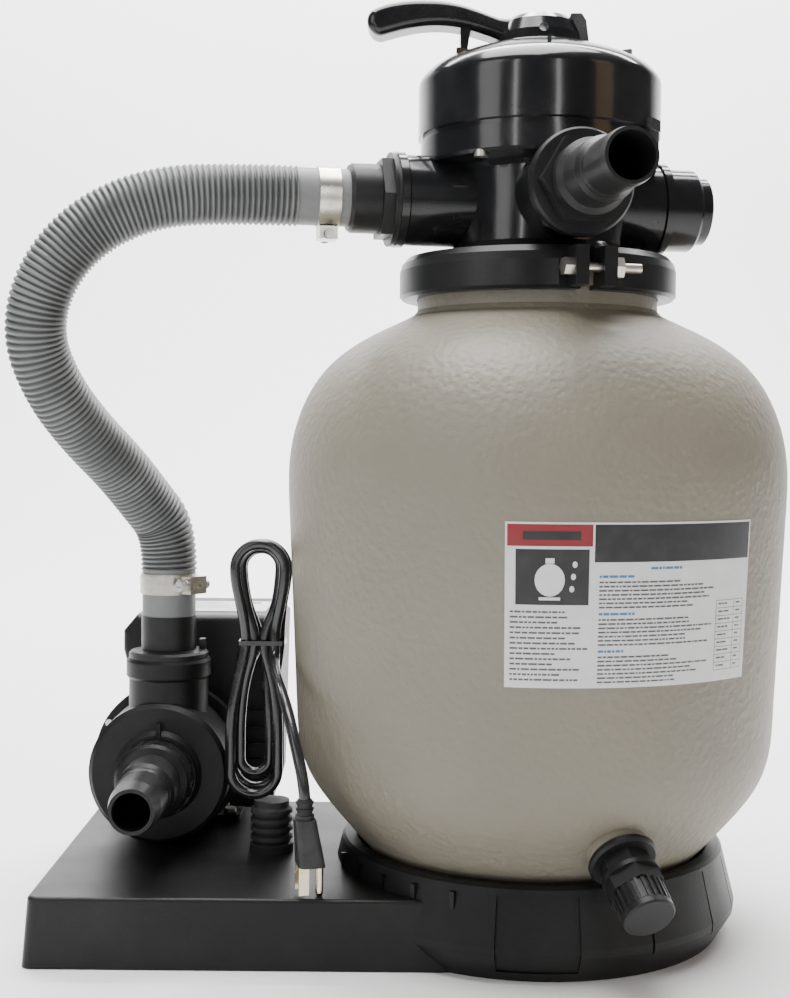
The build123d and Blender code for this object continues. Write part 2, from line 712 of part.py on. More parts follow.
with BuildPart() as hose_cuffs:
    # Plain moulded ends of the hose, pushed over the barbs.
    turned(tube_profile(cuff_od / 2, barb_r, cuff_start, cuff_start + cuff_length), port_centre,
           ports["pump"])
    turned(tube_profile(cuff_od / 2, barb_r, outlet_cuff_low, outlet_cuff_high), outlet_axis)

write_piece(hose_cuffs, "hose_cuffs")


def clamp_band(start, along, low, side):
    """A worm-drive band 14 wide with its screw housing on one side."""
    inner = cuff_od / 2
    turned(tube_profile(inner + 1.2, inner, low, low + 14), start, along)
    turned(tube_profile(inner + 1.9, inner + 1.2, low + 1, low + 13), start, along, arc=120, begin=200)
    seat = Vector(*start) + Vector(*along).normalized() * (low + 7) + Vector(*side) * (inner + 5.2)
    box_plane = Plane(origin=seat, x_dir=side, z_dir=along)
    with BuildSketch(box_plane.offset(-6)) as housing:
        Rectangle(8.4, 16)
    extrude(housing.sketch, amount=12)
    tangent = Vector(*side).cross(Vector(*along)).normalized()
    turned(disc_profile(3.2, -30, 30), seat + Vector(*side) * 0.6, tangent, mode=Mode.SUBTRACT)


def clamp_worm(start, along, low, side):
    """The worm screw: slotted hexagon head and threaded body."""
    inner = cuff_od / 2
    seat = Vector(*start) + Vector(*along).normalized() * (low + 7) + Vector(*side) * (inner + 5.8)
    tangent = Vector(*side).cross(Vector(*along)).normalized()
    turned(disc_profile(3.1, -12, 11), seat, tangent)
    hex_bar(7, 11, 16, seat, tangent)
    turned(disc_profile(4.3, 10, 11), seat, tangent)
    with BuildSketch(Plane(origin=seat + tangent * 15, x_dir=side, z_dir=tangent)) as slot:
        Rectangle(12, 1.2)
    extrude(slot.sketch, amount=2, mode=Mode.SUBTRACT)


valve_band_low = 135.5
outlet_band_low = 215.0
valve_band_side = Vector(0, 0, -1)
outlet_band_side = heading(-35)

with BuildPart() as hose_clamps:
    clamp_band(port_centre, ports["pump"], valve_band_low, valve_band_side)
    clamp_band(outlet_axis, (0, 0, 1), outlet_band_low, outlet_band_side)

write_piece(hose_clamps, "hose_clamps")

with BuildPart() as hose_clamp_screws:
    clamp_worm(port_centre, ports["pump"], valve_band_low, valve_band_side)
    clamp_worm(outlet_axis, (0, 0, 1), outlet_band_low, outlet_band_side)

write_piece(hose_clamp_screws, "hose_clamp_screws")


# ---------------------------------------------------------------- pump, wet end

pump_axis_start = (pump_x, 0, pump_height)
aft = (0, 1, 0)
volute_screw_angles = (30, 150, 190, 235, 305, 350)


def ring_spots():
    """Screw places round the pump's axis."""
    for angle in volute_screw_angles:
        turn = math.radians(angle)
        yield (pump_x + volute_screw_circle * math.cos(turn), 0,
               pump_height + volute_screw_circle * math.sin(turn))


with BuildPart() as volute:
    turned([(0, -8), (27, -8), (27, -1), (30, volute_front), (45, volute_front), (48, 5), (48, 50),
            (47, 51), (47, 55), (flange_r, 55), (flange_r, volute_back), (0, volute_back)],
           pump_axis_start, aft)
    turned(disc_profile(outlet_pipe_r, pump_height + 30, outlet_collar_top - 8), outlet_axis)
    turned([(0, 156), (outlet_pipe_r, 156), (29.3, 158), (29.3, 168), (28, outlet_collar_top),
            (0, outlet_collar_top)], outlet_axis)
    turned(disc_profile(42, 13, volute_back + 1), pump_axis_start, aft, mode=Mode.SUBTRACT)
    turned(disc_profile(19.2, 120, 180), outlet_axis, mode=Mode.SUBTRACT)
    turned(disc_profile(16, -10, 20), pump_axis_start, aft, mode=Mode.SUBTRACT)
    # Small tab on top of the front disc.
    with Locations((pump_x + 1, 2, pump_height + 31)):
        Box(3, 13, 9)
    # The flange is trimmed flat above the deck.
    with Locations((pump_x, 60, deck_top - 10)):
        Box(120, 40, 20.4, mode=Mode.SUBTRACT)
    for spot in ring_spots():
        turned(disc_profile(1.5, 50, 70), spot, aft, mode=Mode.SUBTRACT)

write_piece(volute, "volute")

with BuildPart() as back_plate:
    # Seals the wet end, and seats the front bearing and the motor's barrel.
    turned([(12.3, volute_back), (flange_r, volute_back), (flange_r, 66), (52.5, 67), (46.4, 67), (46.4, 76),
            (16, 76), (16, 66), (12.3, 66)], pump_axis_start, aft)
    with Locations((pump_x, 60, deck_top - 10)):
        Box(120, 40, 20.4, mode=Mode.SUBTRACT)
    for spot in ring_spots():
        turned(disc_profile(1.5, 50, 70), spot, aft, mode=Mode.SUBTRACT)

write_piece(back_plate, "back_plate")

with BuildPart() as volute_gasket:
    ring_gasket(41.8, 38.5, volute_back - 2, volute_back, pump_axis_start, aft)

write_piece(volute_gasket, "volute_gasket")

with BuildPart() as pump_screws:
    for spot in ring_spots():
        turned([(0, 52.4), (2.6, 52.4), (2.6, 55), (1.5, 55), (1.5, 66), (0, 66)], spot, aft)
    for dx in (-foot_holes[0] / 2, foot_holes[0] / 2):
        for dy in (-foot_holes[1] / 2, foot_holes[1] / 2):
            turned([(0, deck_top), (2.6, deck_top), (2.6, deck_top + 4), (4.5, deck_top + 4),
                    (4.5, deck_top + 7.2), (0, deck_top + 7.2)], (pump_x + dx, foot_y + dy, 0))

write_piece(pump_screws, "pump_screws")

with BuildPart() as suction_adapter:
    turned([(12, -2), (15.9, -2), (15.9, -8), (25.5, -8), (25.5, -22), (23.5, -24), (19.5, -26), (19.5, -52),
            (17.5, -55), (17.5, -58), (16.6, -60), (16.6, -88), (14.4, -101), (12, -101)],
           pump_axis_start, aft)
    for grip_rib in range(16):
        turned([(25, -21), (26.3, -21), (26.3, -10), (25, -10)], pump_axis_start, aft, arc=8,
               begin=22.5 * grip_rib)

write_piece(suction_adapter, "suction_adapter")

with BuildPart() as outlet_adapter:
    turned([(13, 142), (19, 142), (19, outlet_collar_top), (27.5, outlet_collar_top), (27.5, 173.5),
            (26, 175), (19, 176), (19, outlet_cuff_low), (barb_r, outlet_cuff_low), (barb_r, 225),
            (14.5, 229), (13, 229)], outlet_axis)
    # Stop tab on the flange.
    with Locations((outlet_x + 23, outlet_y + 5, 178)):
        Box(4, 8, 9)

write_piece(outlet_adapter, "outlet_adapter")

with BuildPart() as impeller:
    turned([(6.05, 24), (12, 24), (12, 36), (37, 36), (37, 38.5), (12, 38.5), (12, 44), (6.05, 44)],
           pump_axis_start, aft)
    turned([(14, 22.5), (15, 22), (37, 26), (37, 28), (15, 24.5)], pump_axis_start, aft)
    for vane in range(6):
        with BuildSketch(Plane(origin=(pump_x, 26, pump_height), x_dir=(1, 0, 0), z_dir=aft)) as blade:
            with Locations(heading(60 * vane) * 24.5):
                Rectangle(21, 2, rotation=60 * vane + 35)
        extrude(blade.sketch, amount=10.5)

write_piece(impeller, "impeller")


# ---------------------------------------------------------------- motor

with BuildPart() as motor_shaft:
    turned([(0, 21), (5, 21), (shaft_r, 23), (shaft_r, 188), (0, 188)], pump_axis_start, aft)

write_piece(motor_shaft, "motor_shaft")

with BuildPart() as shaft_seal:
    turned(tube_profile(12.2, shaft_r + running_gap, 46, 66), pump_axis_start, aft)

write_piece(shaft_seal, "shaft_seal")

with BuildPart() as bearings:
    for low in (66, 164):
        turned(tube_profile(16, shaft_r + running_gap, low, low + 10), pump_axis_start, aft)

write_piece(bearings, "bearings")

with BuildPart() as motor_rotor:
    turned(tube_profile(25, shaft_r, 88, 136), pump_axis_start, aft)

write_piece(motor_rotor, "motor_rotor")

with BuildPart() as motor_stator:
    turned(tube_profile(46.3, 25.6, 88, 136), pump_axis_start, aft)

write_piece(motor_stator, "motor_stator")

with BuildPart() as stator_windings:
    turned([(29, 79), (40, 78), (43, 81), (43, 88), (28, 88)], pump_axis_start, aft)
    turned([(28, 136), (43, 136), (43, 144), (40, 148), (29, 147)], pump_axis_start, aft)

write_piece(stator_windings, "stator_windings")

with BuildPart() as cooling_fan:
    turned(tube_profile(10, shaft_r, 179, 187), pump_axis_start, aft)
    with BuildSketch(Plane(origin=(pump_x, 180, pump_height), x_dir=(1, 0, 0), z_dir=aft)) as fan_blades:
        with PolarLocations(24, 8):
            Rectangle(30, 2)
    extrude(fan_blades.sketch, amount=6)

write_piece(cooling_fan, "cooling_fan")

box_left = -292.0
box_right = -178.0
box_top = 194.0
box_front = 78.0

with BuildPart() as motor_cover:
    turned([(0, 67.2), (48, 67.2), (barrel_r, 70), (barrel_r, motor_back), (0, motor_back)],
           pump_axis_start, aft)
    # Terminal housing over the barrel, with sloped shoulders.
    with BuildSketch(Plane(origin=(0, motor_back, 0), x_dir=(1, 0, 0), z_dir=(0, -1, 0))) as box_face:
        with BuildLine():
            Polyline((box_left + 10, box_top), (box_right - 8, box_top), (box_right, box_top - 8),
                     (-181, 60), (-190, 52), (-213, 54), (-222, 100), (-280, 120), (box_left, 168),
                     (box_left, box_top - 12), close=True)
        make_face()
    extrude(box_face.sketch, amount=motor_back - box_front)
    rim = motor_cover.faces().filter_by(Axis.Y).sort_by(lambda f: abs(f.center().Y - box_front))[0]
    fillet(rim.edges().filter_by(lambda e: e.center().Z > 150), radius=5)
    turned(disc_profile(46.6, 60, motor_back + 1), pump_axis_start, aft, mode=Mode.SUBTRACT)
    with Locations((-235, 136, 170)):
        Box(96, 100, 36, mode=Mode.SUBTRACT)
    turned(disc_profile(6.5, 70, 90), (lead_out[0], 0, lead_out[2]), aft, mode=Mode.SUBTRACT)
    # Louvres low on the housing's front, beside the barrel.
    for louvre in range(6):
        with Locations((-198, box_front, 66 + 12 * louvre)):
            Box(25, 6, 3.5, mode=Mode.SUBTRACT)
    # Web that seats the rear bearing.
    turned([(16, 164), (46.8, 164), (46.8, 167), (20, 167), (20, 174), (16, 174)], pump_axis_start, aft)
    # Cooling slots low on both sides of the barrel.
    for slot in range(6):
        with Locations((pump_x, 92 + 14 * slot, pump_height - 24)):
            Box(120, 4, 14, mode=Mode.SUBTRACT)

write_piece(motor_cover, "motor_cover")

with BuildPart() as run_capacitor:
    turned(disc_profile(13, 100, 156), (-256, 0, 171), aft)

write_piece(run_capacitor, "run_capacitor")

with BuildPart() as fan_grille:
    turned([(46.4, 190), (46.4, motor_back), (barrel_r, motor_back), (barrel_r, 200), (47, 202), (0, 202),
            (0, 199), (43.5, 199), (43.5, 190)], pump_axis_start, aft)
    for ring in range(4):
        ring_low = 9 + 9 * ring
        turned(tube_profile(ring_low + 4, ring_low, 198, 203), pump_axis_start, aft, mode=Mode.SUBTRACT)
    with BuildSketch(Plane(origin=(pump_x, 199, pump_height), x_dir=(1, 0, 0), z_dir=aft)) as spokes:
        with PolarLocations(24, 6):
            Rectangle(42, 3)
    extrude(spokes.sketch, amount=3)

write_piece(fan_grille, "fan_grille")

with BuildPart() as motor_foot:
    # Saddle under the barrel with a drilled sole plate.
    with BuildSketch(Plane.XY.offset(deck_top)):
        with Locations((pump_x, foot_y)):
            RectangleRounded(*foot_size, 6)
    extrude(amount=4)
    for leg_x in (-22, 22):
        with Locations((pump_x + leg_x, foot_y, deck_top + 15)):
            Box(5, 50, 26)
    turned(disc_profile(barrel_r + 0.1, 60, 190), pump_axis_start, aft, mode=Mode.SUBTRACT)
    with Locations((pump_x, foot_y, 0)):
        with GridLocations(*foot_holes, 2, 2):
            Cylinder(2.6, 100, mode=Mode.SUBTRACT)

write_piece(motor_foot, "motor_foot")

with BuildPart() as labels:
    # Printed films: one wrapped round the front of the tank's side, one flat on the motor housing.
    label_low = Vector(*side_low) + side_slope * 46
    label_high = Vector(*side_low) + side_slope * 141
    across = Vector(side_slope.Y, -side_slope.X) * 0.05
    film = Vector(side_slope.Y, -side_slope.X) * 0.4
    corners = [label_low + across, label_high + across, label_high + film, label_low + film]
    turned([(c.X, c.Y) for c in corners], arc=57, begin=-101)
    with BuildSketch(Plane.XY.offset(box_top)) as motor_film:
        with Locations((-228, 136)):
            RectangleRounded(76, 66, 2)
    extrude(motor_film.sketch, amount=0.4)

write_piece(labels, "labels")


# ---------------------------------------------------------------- mains lead

with BuildPart() as cord_gland:
    turned([(0, 86), (6.4, 86), (6.4, 78), (8.5, 78), (8.5, 74), (6.5, 73), (4.8, 56), (0, 56)],
           (lead_out[0], 0, lead_out[2]), aft)

write_piece(cord_gland, "cord_gland")

lead_route = [lead_out, (-200, 42, 164), (-198, 23, 161), (-198, hank_back, 161)]
tail_route = [(-178, hank_front, 178), (-178, -33, 178), (-170, -60, 168), (-157, -85, 157),
              (plug_x, plug_y, 132), (plug_x, plug_y, 103)]


def lead_tube(points, title):
    """Plain round tube of the lead along its route."""
    with BuildLine():
        path = smooth_path(points, title)
    with BuildSketch(Plane(origin=path @ 0, z_dir=path % 0)) as section:
        Circle(lead_d / 2)
    solid = sweep(section.sketch, path=path, transition=Transition.ROUND)
    print(title, "volume", round(solid.volume), "section x length",
          round(math.pi * lead_d**2 / 4 * path.length), "length", round(path.length))


with BuildPart() as lead_start:
    lead_tube(lead_route, "lead start")

write_piece(lead_start, "lead_start")

with BuildPart() as lead_hank:
    # The folded lead's outer shape: two loops drawn in at the tie.
    with BuildSketch(Plane(origin=(hank_x, hank_front, 0), x_dir=(1, 0, 0), z_dir=(0, -1, 0))) as hank_face:
        with BuildLine():
            Spline((4, 79), (-12, 90), (-21, 112), (-22, 138), (-15, 166), (-10.8, 186), (-14, 207),
                   (-19, 228), (-16, 246), (0, 254), (15, 247), (20, 228), (18.5, 207), (17, 186),
                   (18, 160), (19.5, 135), (19, 108), (14, 88), periodic=True)
        make_face()
    extrude(hank_face.sketch, amount=-(hank_back - hank_front))

write_piece(lead_hank, "lead_hank")

with BuildPart() as lead_tail:
    lead_tube(tail_route, "lead tail")

write_piece(lead_tail, "lead_tail")

with BuildPart() as lead_tie:
    with BuildSketch(Plane.XY.offset(184.5)):
        with Locations((hank_x + 3.3, 0)):
            RectangleRounded(31, 21.2, 2)
            RectangleRounded(28.8, 19, 1, mode=Mode.SUBTRACT)
    extrude(amount=3)

write_piece(lead_tie, "lead_tie")

plug_low = 63.0
plug_high = 91.0
plug_turn = 14.0

with BuildPart() as plug_body:
    with BuildSketch(Plane.XY.offset(plug_low)):
        with Locations((plug_x + 3.5, plug_y)):
            RectangleRounded(16.5, 22, 4, rotation=plug_turn)
    with BuildSketch(Plane.XY.offset(plug_high)):
        with Locations((plug_x, plug_y)):
            RectangleRounded(13, 15, 4, rotation=plug_turn)
    loft()
    relief_profile = [(0, plug_high), (6, plug_high)]
    for ring in range(3):
        relief_low = plug_high + 4 * ring
        relief_profile += [(5.8, relief_low + 2.6), (4.6, relief_low + 2.8), (4.6, relief_low + 4)]
    relief_profile += [(0, 103)]
    turned(relief_profile, (plug_x, plug_y, 0))

write_piece(plug_body, "plug_body")

with BuildPart() as plug_pins:
    across = heading(plug_turn)
    back = heading(plug_turn + 90)
    for side in (-6.35, 6.35):
        blade_centre = Vector(plug_x, plug_y, plug_low) + back * side - across * 1.5
        with BuildSketch(Plane(origin=blade_centre, x_dir=across, z_dir=(0, 0, -1))) as blade:
            Rectangle(6.35, 1.5)
        extrude(blade.sketch, amount=17.5)
    pin_centre = Vector(plug_x, plug_y, 0) + across * 9.4
    turned([(0, deck_top + 0.1), (1.6, deck_top + 0.1), (2.4, deck_top + 1.6), (2.4, plug_low),
            (0, plug_low)], pin_centre)

write_piece(plug_pins, "plug_pins")
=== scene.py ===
import math
import random

import bmesh
import bpy
from mathutils import Matrix, Vector


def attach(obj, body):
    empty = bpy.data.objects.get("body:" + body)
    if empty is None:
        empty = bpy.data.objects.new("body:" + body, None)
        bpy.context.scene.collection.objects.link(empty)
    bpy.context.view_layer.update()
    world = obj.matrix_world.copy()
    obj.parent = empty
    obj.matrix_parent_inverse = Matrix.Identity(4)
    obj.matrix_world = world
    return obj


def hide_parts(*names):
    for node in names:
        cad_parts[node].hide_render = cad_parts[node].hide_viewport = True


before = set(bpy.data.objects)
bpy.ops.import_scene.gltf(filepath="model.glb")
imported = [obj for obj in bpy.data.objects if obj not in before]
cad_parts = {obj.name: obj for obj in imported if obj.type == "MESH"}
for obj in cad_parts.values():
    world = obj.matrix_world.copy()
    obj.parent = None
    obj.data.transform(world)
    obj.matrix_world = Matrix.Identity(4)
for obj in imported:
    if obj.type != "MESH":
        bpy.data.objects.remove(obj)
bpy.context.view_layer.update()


# ---------------------------------------------------------------- standpoint, lights and floor
# The set is looked at from the front, a metre off and a little to the pump's side.
# It stands on a pale seamless sweep under large soft lights, with two tall strips for the gloss parts.

camera_place = Vector((-0.0939, -0.9924, 0.3235))
camera_dip = math.radians(2.31)
camera_roll = 0.0089
camera_data = bpy.data.cameras.new("standpoint")
camera_data.lens = 53.02
camera_data.sensor_width = 36.0
camera = bpy.data.objects.new("standpoint", camera_data)
bpy.context.collection.objects.link(camera)
level_view = Matrix.Rotation(math.pi / 2 - camera_dip, 4, "X")
camera.matrix_world = Matrix.Translation(camera_place) @ level_view @ Matrix.Rotation(camera_roll, 4, "Z")
bpy.context.scene.camera = camera

set_centre = Vector((-0.07, 0.0, 0.30))


def add_object(name, data):
    """Put new data in the scene as an object."""
    made = bpy.data.objects.new(name, data)
    bpy.context.collection.objects.link(made)
    return made


def mesh_object(name, sheet, *finishes):
    """Turn a worked-up sheet into an object with its finishes."""
    mesh = bpy.data.meshes.new(name)
    sheet.to_mesh(mesh)
    sheet.free()
    for finish in finishes:
        mesh.materials.append(finish)
    return add_object(name, mesh)


def soft_light(name, place, width, height, power, warmth=1.0, aim=set_centre):
    """A rectangular soft light aimed at the middle of the set or at the wall."""
    data = bpy.data.lights.new(name, "AREA")
    data.shape = "RECTANGLE"
    data.size = width
    data.size_y = height
    data.energy = power
    data.color = (1.0, 0.5 + 0.5 * warmth, warmth)
    lamp = add_object(name, data)
    lamp.location = place
    lamp.rotation_euler = (aim - Vector(place)).to_track_quat("-Z", "Y").to_euler()


soft_light("overhead_bank", (-0.15, 0.05, 1.9), 1.5, 1.1, 84)
soft_light("left_bank", (-1.5, -1.2, 1.1), 0.7, 1.2, 10)
soft_light("right_bank", (1.5, -1.0, 1.0), 0.6, 1.2, 3, 0.35)
soft_light("left_strip", (-0.62, -1.25, 0.75), 0.07, 0.9, 2.4)
soft_light("right_strip", (0.30, -1.45, 0.80), 0.10, 0.9, 2.8)
soft_light("wall_bank", (0.0, 1.6, 2.9), 5.0, 0.6, 420, aim=Vector((0.0, 3.2, 0.4)))

world = bpy.data.worlds.new("pale_room")
bpy.context.scene.world = world
world.use_nodes = True
world.node_tree.nodes["Background"].inputs["Color"].default_value = (0.95, 0.97, 1.0, 1.0)
world.node_tree.nodes["Background"].inputs["Strength"].default_value = 0.14


def pale_sweep_paint():
    """Matt pale paint with a hardly visible roller mottle."""
    material = bpy.data.materials.new("pale_sweep_paint")
    material.use_nodes = True
    nodes = material.node_tree.nodes
    links = material.node_tree.links
    shader = nodes["Principled BSDF"]
    shader.label = "matt paint"
    roller = nodes.new("ShaderNodeTexNoise")
    roller.label = "roller mottle"
    roller.location = (-520, 0)
    tone = nodes.new("ShaderNodeValToRGB")
    tone.label = "pale tone"
    tone.location = (-320, 0)
    roller.inputs["Scale"].default_value = 5.0
    first_stop, last_stop = tone.color_ramp.elements
    first_stop.color = (0.88, 0.88, 0.88, 1)
    last_stop.color = (0.92, 0.92, 0.92, 1)
    shader.inputs["Roughness"].default_value = 0.85
    links.new(roller.outputs["Fac"], tone.inputs["Fac"])
    links.new(tone.outputs["Color"], shader.inputs["Base Color"])
    return material


def studio_sweep():
    """Floor that curves up into a wall behind the set."""
    front_y = -4.0
    wall_y = 3.2
    wall_top = 4.0
    half_width = 5.0
    bend_r = 1.0
    bend_steps = 12
    floor_gap = 0.0004
    profile = [(front_y, 0.0), (wall_y - bend_r, 0.0)]
    for step in range(1, bend_steps + 1):
        turn = step / bend_steps * math.pi / 2
        profile.append((wall_y - bend_r + bend_r * math.sin(turn), bend_r - bend_r * math.cos(turn)))
    profile.append((wall_y, wall_top))
    sheet = bmesh.new()
    rows = []
    for y, z in profile:
        rows.append([sheet.verts.new((x, y, z - floor_gap)) for x in (-half_width, half_width)])
    for low, high in zip(rows, rows[1:]):
        sheet.faces.new((low[0], low[1], high[1], high[0]))
    sweep = mesh_object("studio_sweep", sheet, pale_sweep_paint())
    sweep.data.shade_smooth()


studio_sweep()


# ---------------------------------------------------------------- mains lead
# A round PVC lead folded up and down into a hank, drawn in at its waist by a black wire tie.
# It leaves the motor through a gland behind the hank and ends in a moulded plug.

lead_d = 0.0072
gland_mouth = (-0.200, 0.056, 0.164)
gland_to_hank = [gland_mouth, (-0.200, 0.042, 0.164), (-0.1995, 0.030, 0.163), (-0.199, 0.018, 0.165),
                 (-0.1965, 0.0095, 0.174)]
hank_to_plug = [(-0.1740, -0.0090, 0.176), (-0.1730, -0.026, 0.172), (-0.1675, -0.052, 0.165),
                (-0.1600, -0.076, 0.153), (-0.1535, -0.092, 0.132), (-0.1485, -0.1000, 0.115),
                (-0.1475, -0.1005, 0.103)]
tie_x = -0.1825
upper_x = -0.1839
lower_x = -0.1877
# Heights where the strands leave the tie, spread out and run straight.
under_tie_z = 0.181
over_tie_left_z = 0.193
over_tie_right_z = 0.194
upper_spread_z = 0.210
lower_spread_z = 0.160
lower_straight_z = 0.135
# Half the side of an octagon round a circle of radius 1, for the round folds.
octagon = 0.4142
# Each turn at the tie: left strand, right strand and depth; then its upper fold: half width, depth and top.
hank_turns = [(-0.0109, 0.0109, 0.0043, 0.0166, 0.0105, 0.2515),
              (-0.0038, 0.0038, 0.0038, 0.0130, 0.0036, 0.2490),
              (-0.0055, 0.0012, -0.0038, 0.0132, -0.0036, 0.2500),
              (-0.0112, 0.0082, -0.0045, 0.0166, -0.0105, 0.2528)]
# Lower folds between the turns: half width, depth and bottom.
lower_folds = [(0.0160, 0.0070, 0.0850), (0.0100, 0.0, 0.0965), (0.0160, -0.0070, 0.0832)]


def hank_points():
    """Control points of the folded lead, from the gland's side to the plug's side."""
    points = []
    for turn, (left, right, tie_depth, half, depth, top) in enumerate(hank_turns):
        side_low = top - (1 - octagon) * half
        straight_end = side_low - 2 * octagon * half
        points += [(tie_x + left, tie_depth, under_tie_z), (tie_x + left, tie_depth, over_tie_left_z),
                   (upper_x - 0.75 * half, 0.4 * tie_depth + 0.6 * depth, upper_spread_z),
                   (upper_x - half, depth, straight_end), (upper_x - half, depth, side_low),
                   (upper_x - octagon * half, depth, top), (upper_x + octagon * half, depth, top),
                   (upper_x + half, depth, side_low), (upper_x + half, depth, straight_end),
                   (upper_x + 0.8 * half, 0.4 * tie_depth + 0.6 * depth, upper_spread_z),
                   (tie_x + right, tie_depth, over_tie_right_z)]
        if turn == len(lower_folds):
            return points
        fold, fold_depth, bottom = lower_folds[turn]
        after_depth = hank_turns[turn + 1][2]
        side_high = bottom + (1 - octagon) * fold
        straight_low = side_high + 2 * octagon * fold
        points += [(tie_x + right, tie_depth, under_tie_z),
                   (lower_x + 0.8 * fold, 0.5 * tie_depth + 0.5 * fold_depth, lower_spread_z),
                   (lower_x + fold, fold_depth, lower_straight_z),
                   (lower_x + fold, fold_depth, straight_low), (lower_x + fold, fold_depth, side_high),
                   (lower_x + octagon * fold, fold_depth, bottom),
                   (lower_x - octagon * fold, fold_depth, bottom), (lower_x - fold, fold_depth, side_high),
                   (lower_x - fold, fold_depth, straight_low),
                   (lower_x - fold, fold_depth, lower_straight_z),
                   (lower_x - 0.7 * fold, 0.5 * after_depth + 0.5 * fold_depth, lower_spread_z)]
    return points


def route_curve(name, points, radius, flow_steps):
    """A smooth curve that follows given points."""
    curve = bpy.data.curves.new(name, "CURVE")
    curve.dimensions = "3D"
    spline = curve.splines.new("NURBS")
    spline.points.add(len(points) - 1)
    for control, place in zip(spline.points, points):
        control.co = (*place, 1.0)
    spline.order_u = 3
    spline.use_endpoint_u = True
    spline.resolution_u = flow_steps
    curve.bevel_depth = radius
    curve.bevel_resolution = 6
    curve.use_fill_caps = radius > 0
    return add_object(name, curve)


def blank_material(name):
    """A new material with an empty node tree, its nodes and its links."""
    material = bpy.data.materials.new(name)
    material.use_nodes = True
    material.node_tree.nodes.clear()
    return material, material.node_tree.nodes, material.node_tree.links


def enclose(effect, *members):
    """Put the nodes of one effect in its frame."""
    for node in members:
        node.parent = effect


def spread(*flow):
    """Lay nodes out from left to right in three rows."""
    for column, node in enumerate(flow):
        node.location = (210 * column, -150 * (column % 3))


def lead_sheath():
    """Glossy black PVC with faint ripples and finger marks in the gloss."""
    material, nodes, links = blank_material("lead_sheath")
    place = nodes.new("ShaderNodeTexCoord")
    place.label = "place on the lead"
    handling = nodes.new("ShaderNodeTexNoise")
    handling.label = "finger marks"
    tone = nodes.new("ShaderNodeValToRGB")
    tone.label = "black with grey bloom"
    gloss = nodes.new("ShaderNodeMapRange")
    gloss.label = "gloss range"
    ripple = nodes.new("ShaderNodeTexNoise")
    ripple.label = "extruder ripple"
    relief = nodes.new("ShaderNodeBump")
    relief.label = "ripple relief"
    shader = nodes.new("ShaderNodeBsdfPrincipled")
    shader.label = "PVC sheath"
    output = nodes.new("ShaderNodeOutputMaterial")
    output.label = "surface out"
    surface_frame = nodes.new("NodeFrame")
    surface_frame.label = "bloom and gloss"
    relief_frame = nodes.new("NodeFrame")
    relief_frame.label = "ripple"
    enclose(surface_frame, handling, tone, gloss)
    enclose(relief_frame, ripple, relief)
    spread(place, handling, tone, gloss, ripple, relief, shader, output)
    handling.inputs["Scale"].default_value = 60.0
    handling.inputs["Detail"].default_value = 4.0
    first_stop, last_stop = tone.color_ramp.elements
    first_stop.position = 0.35
    first_stop.color = (0.008, 0.008, 0.009, 1)
    last_stop.position = 0.8
    last_stop.color = (0.020, 0.020, 0.021, 1)
    gloss.inputs["To Min"].default_value = 0.16
    gloss.inputs["To Max"].default_value = 0.34
    ripple.inputs["Scale"].default_value = 420.0
    relief.inputs["Strength"].default_value = 0.25
    relief.inputs["Distance"].default_value = 0.0004
    shader.inputs["Coat Weight"].default_value = 0.25
    shader.inputs["Coat Roughness"].default_value = 0.12
    links.new(place.outputs["Object"], handling.inputs["Vector"])
    links.new(place.outputs["Object"], ripple.inputs["Vector"])
    links.new(handling.outputs["Fac"], tone.inputs["Fac"])
    links.new(handling.outputs["Fac"], gloss.inputs["Value"])
    links.new(ripple.outputs["Fac"], relief.inputs["Height"])
    links.new(tone.outputs["Color"], shader.inputs["Base Color"])
    links.new(gloss.outputs["Result"], shader.inputs["Roughness"])
    links.new(relief.outputs["Normal"], shader.inputs["Normal"])
    links.new(shader.outputs["BSDF"], output.inputs["Surface"])
    return material


def dress(material, *node_names):
    """Give made pieces their finish."""
    for node_name in node_names:
        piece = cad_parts[node_name]
        if not piece.material_slots:
            piece.data.materials.append(material)
        for finish_slot in piece.material_slots:
            finish_slot.material = material


sheath = lead_sheath()
lead_points = gland_to_hank + hank_points() + hank_to_plug
mains_lead = route_curve("mains_lead", lead_points, lead_d / 2, 10)
mains_lead.data.materials.append(sheath)
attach(mains_lead, "frame")
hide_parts("lead_start", "lead_hank", "lead_tail")
dress(sheath, "lead_tie")


# ---------------------------------------------------------------- hose
# Grey polyethylene hose with fine round corrugations, from the valve's pump port down to the pump.
# It springs outwards in one wide bow, and each end is moulded into a plain lighter cuff.

hose_d = 0.039
groove_depth = 0.0016
corrugation_pitch = 0.0037
rings_per_corrugation = 6
crest_sharpness = 0.7
hose_wall_depth = 0.003
hose_sides = 40
hose_route = [(-0.1600, -0.0311, 0.481), (-0.2042, -0.0397, 0.481), (-0.250, -0.052, 0.476),
              (-0.290, -0.060, 0.456), (-0.316, -0.063, 0.423), (-0.325, -0.057, 0.387),
              (-0.315, -0.042, 0.354), (-0.299, -0.020, 0.327), (-0.280, 0.003, 0.303),
              (-0.266, 0.020, 0.281), (-0.2515, 0.0334, 0.259), (-0.2515, 0.0334, 0.232)]


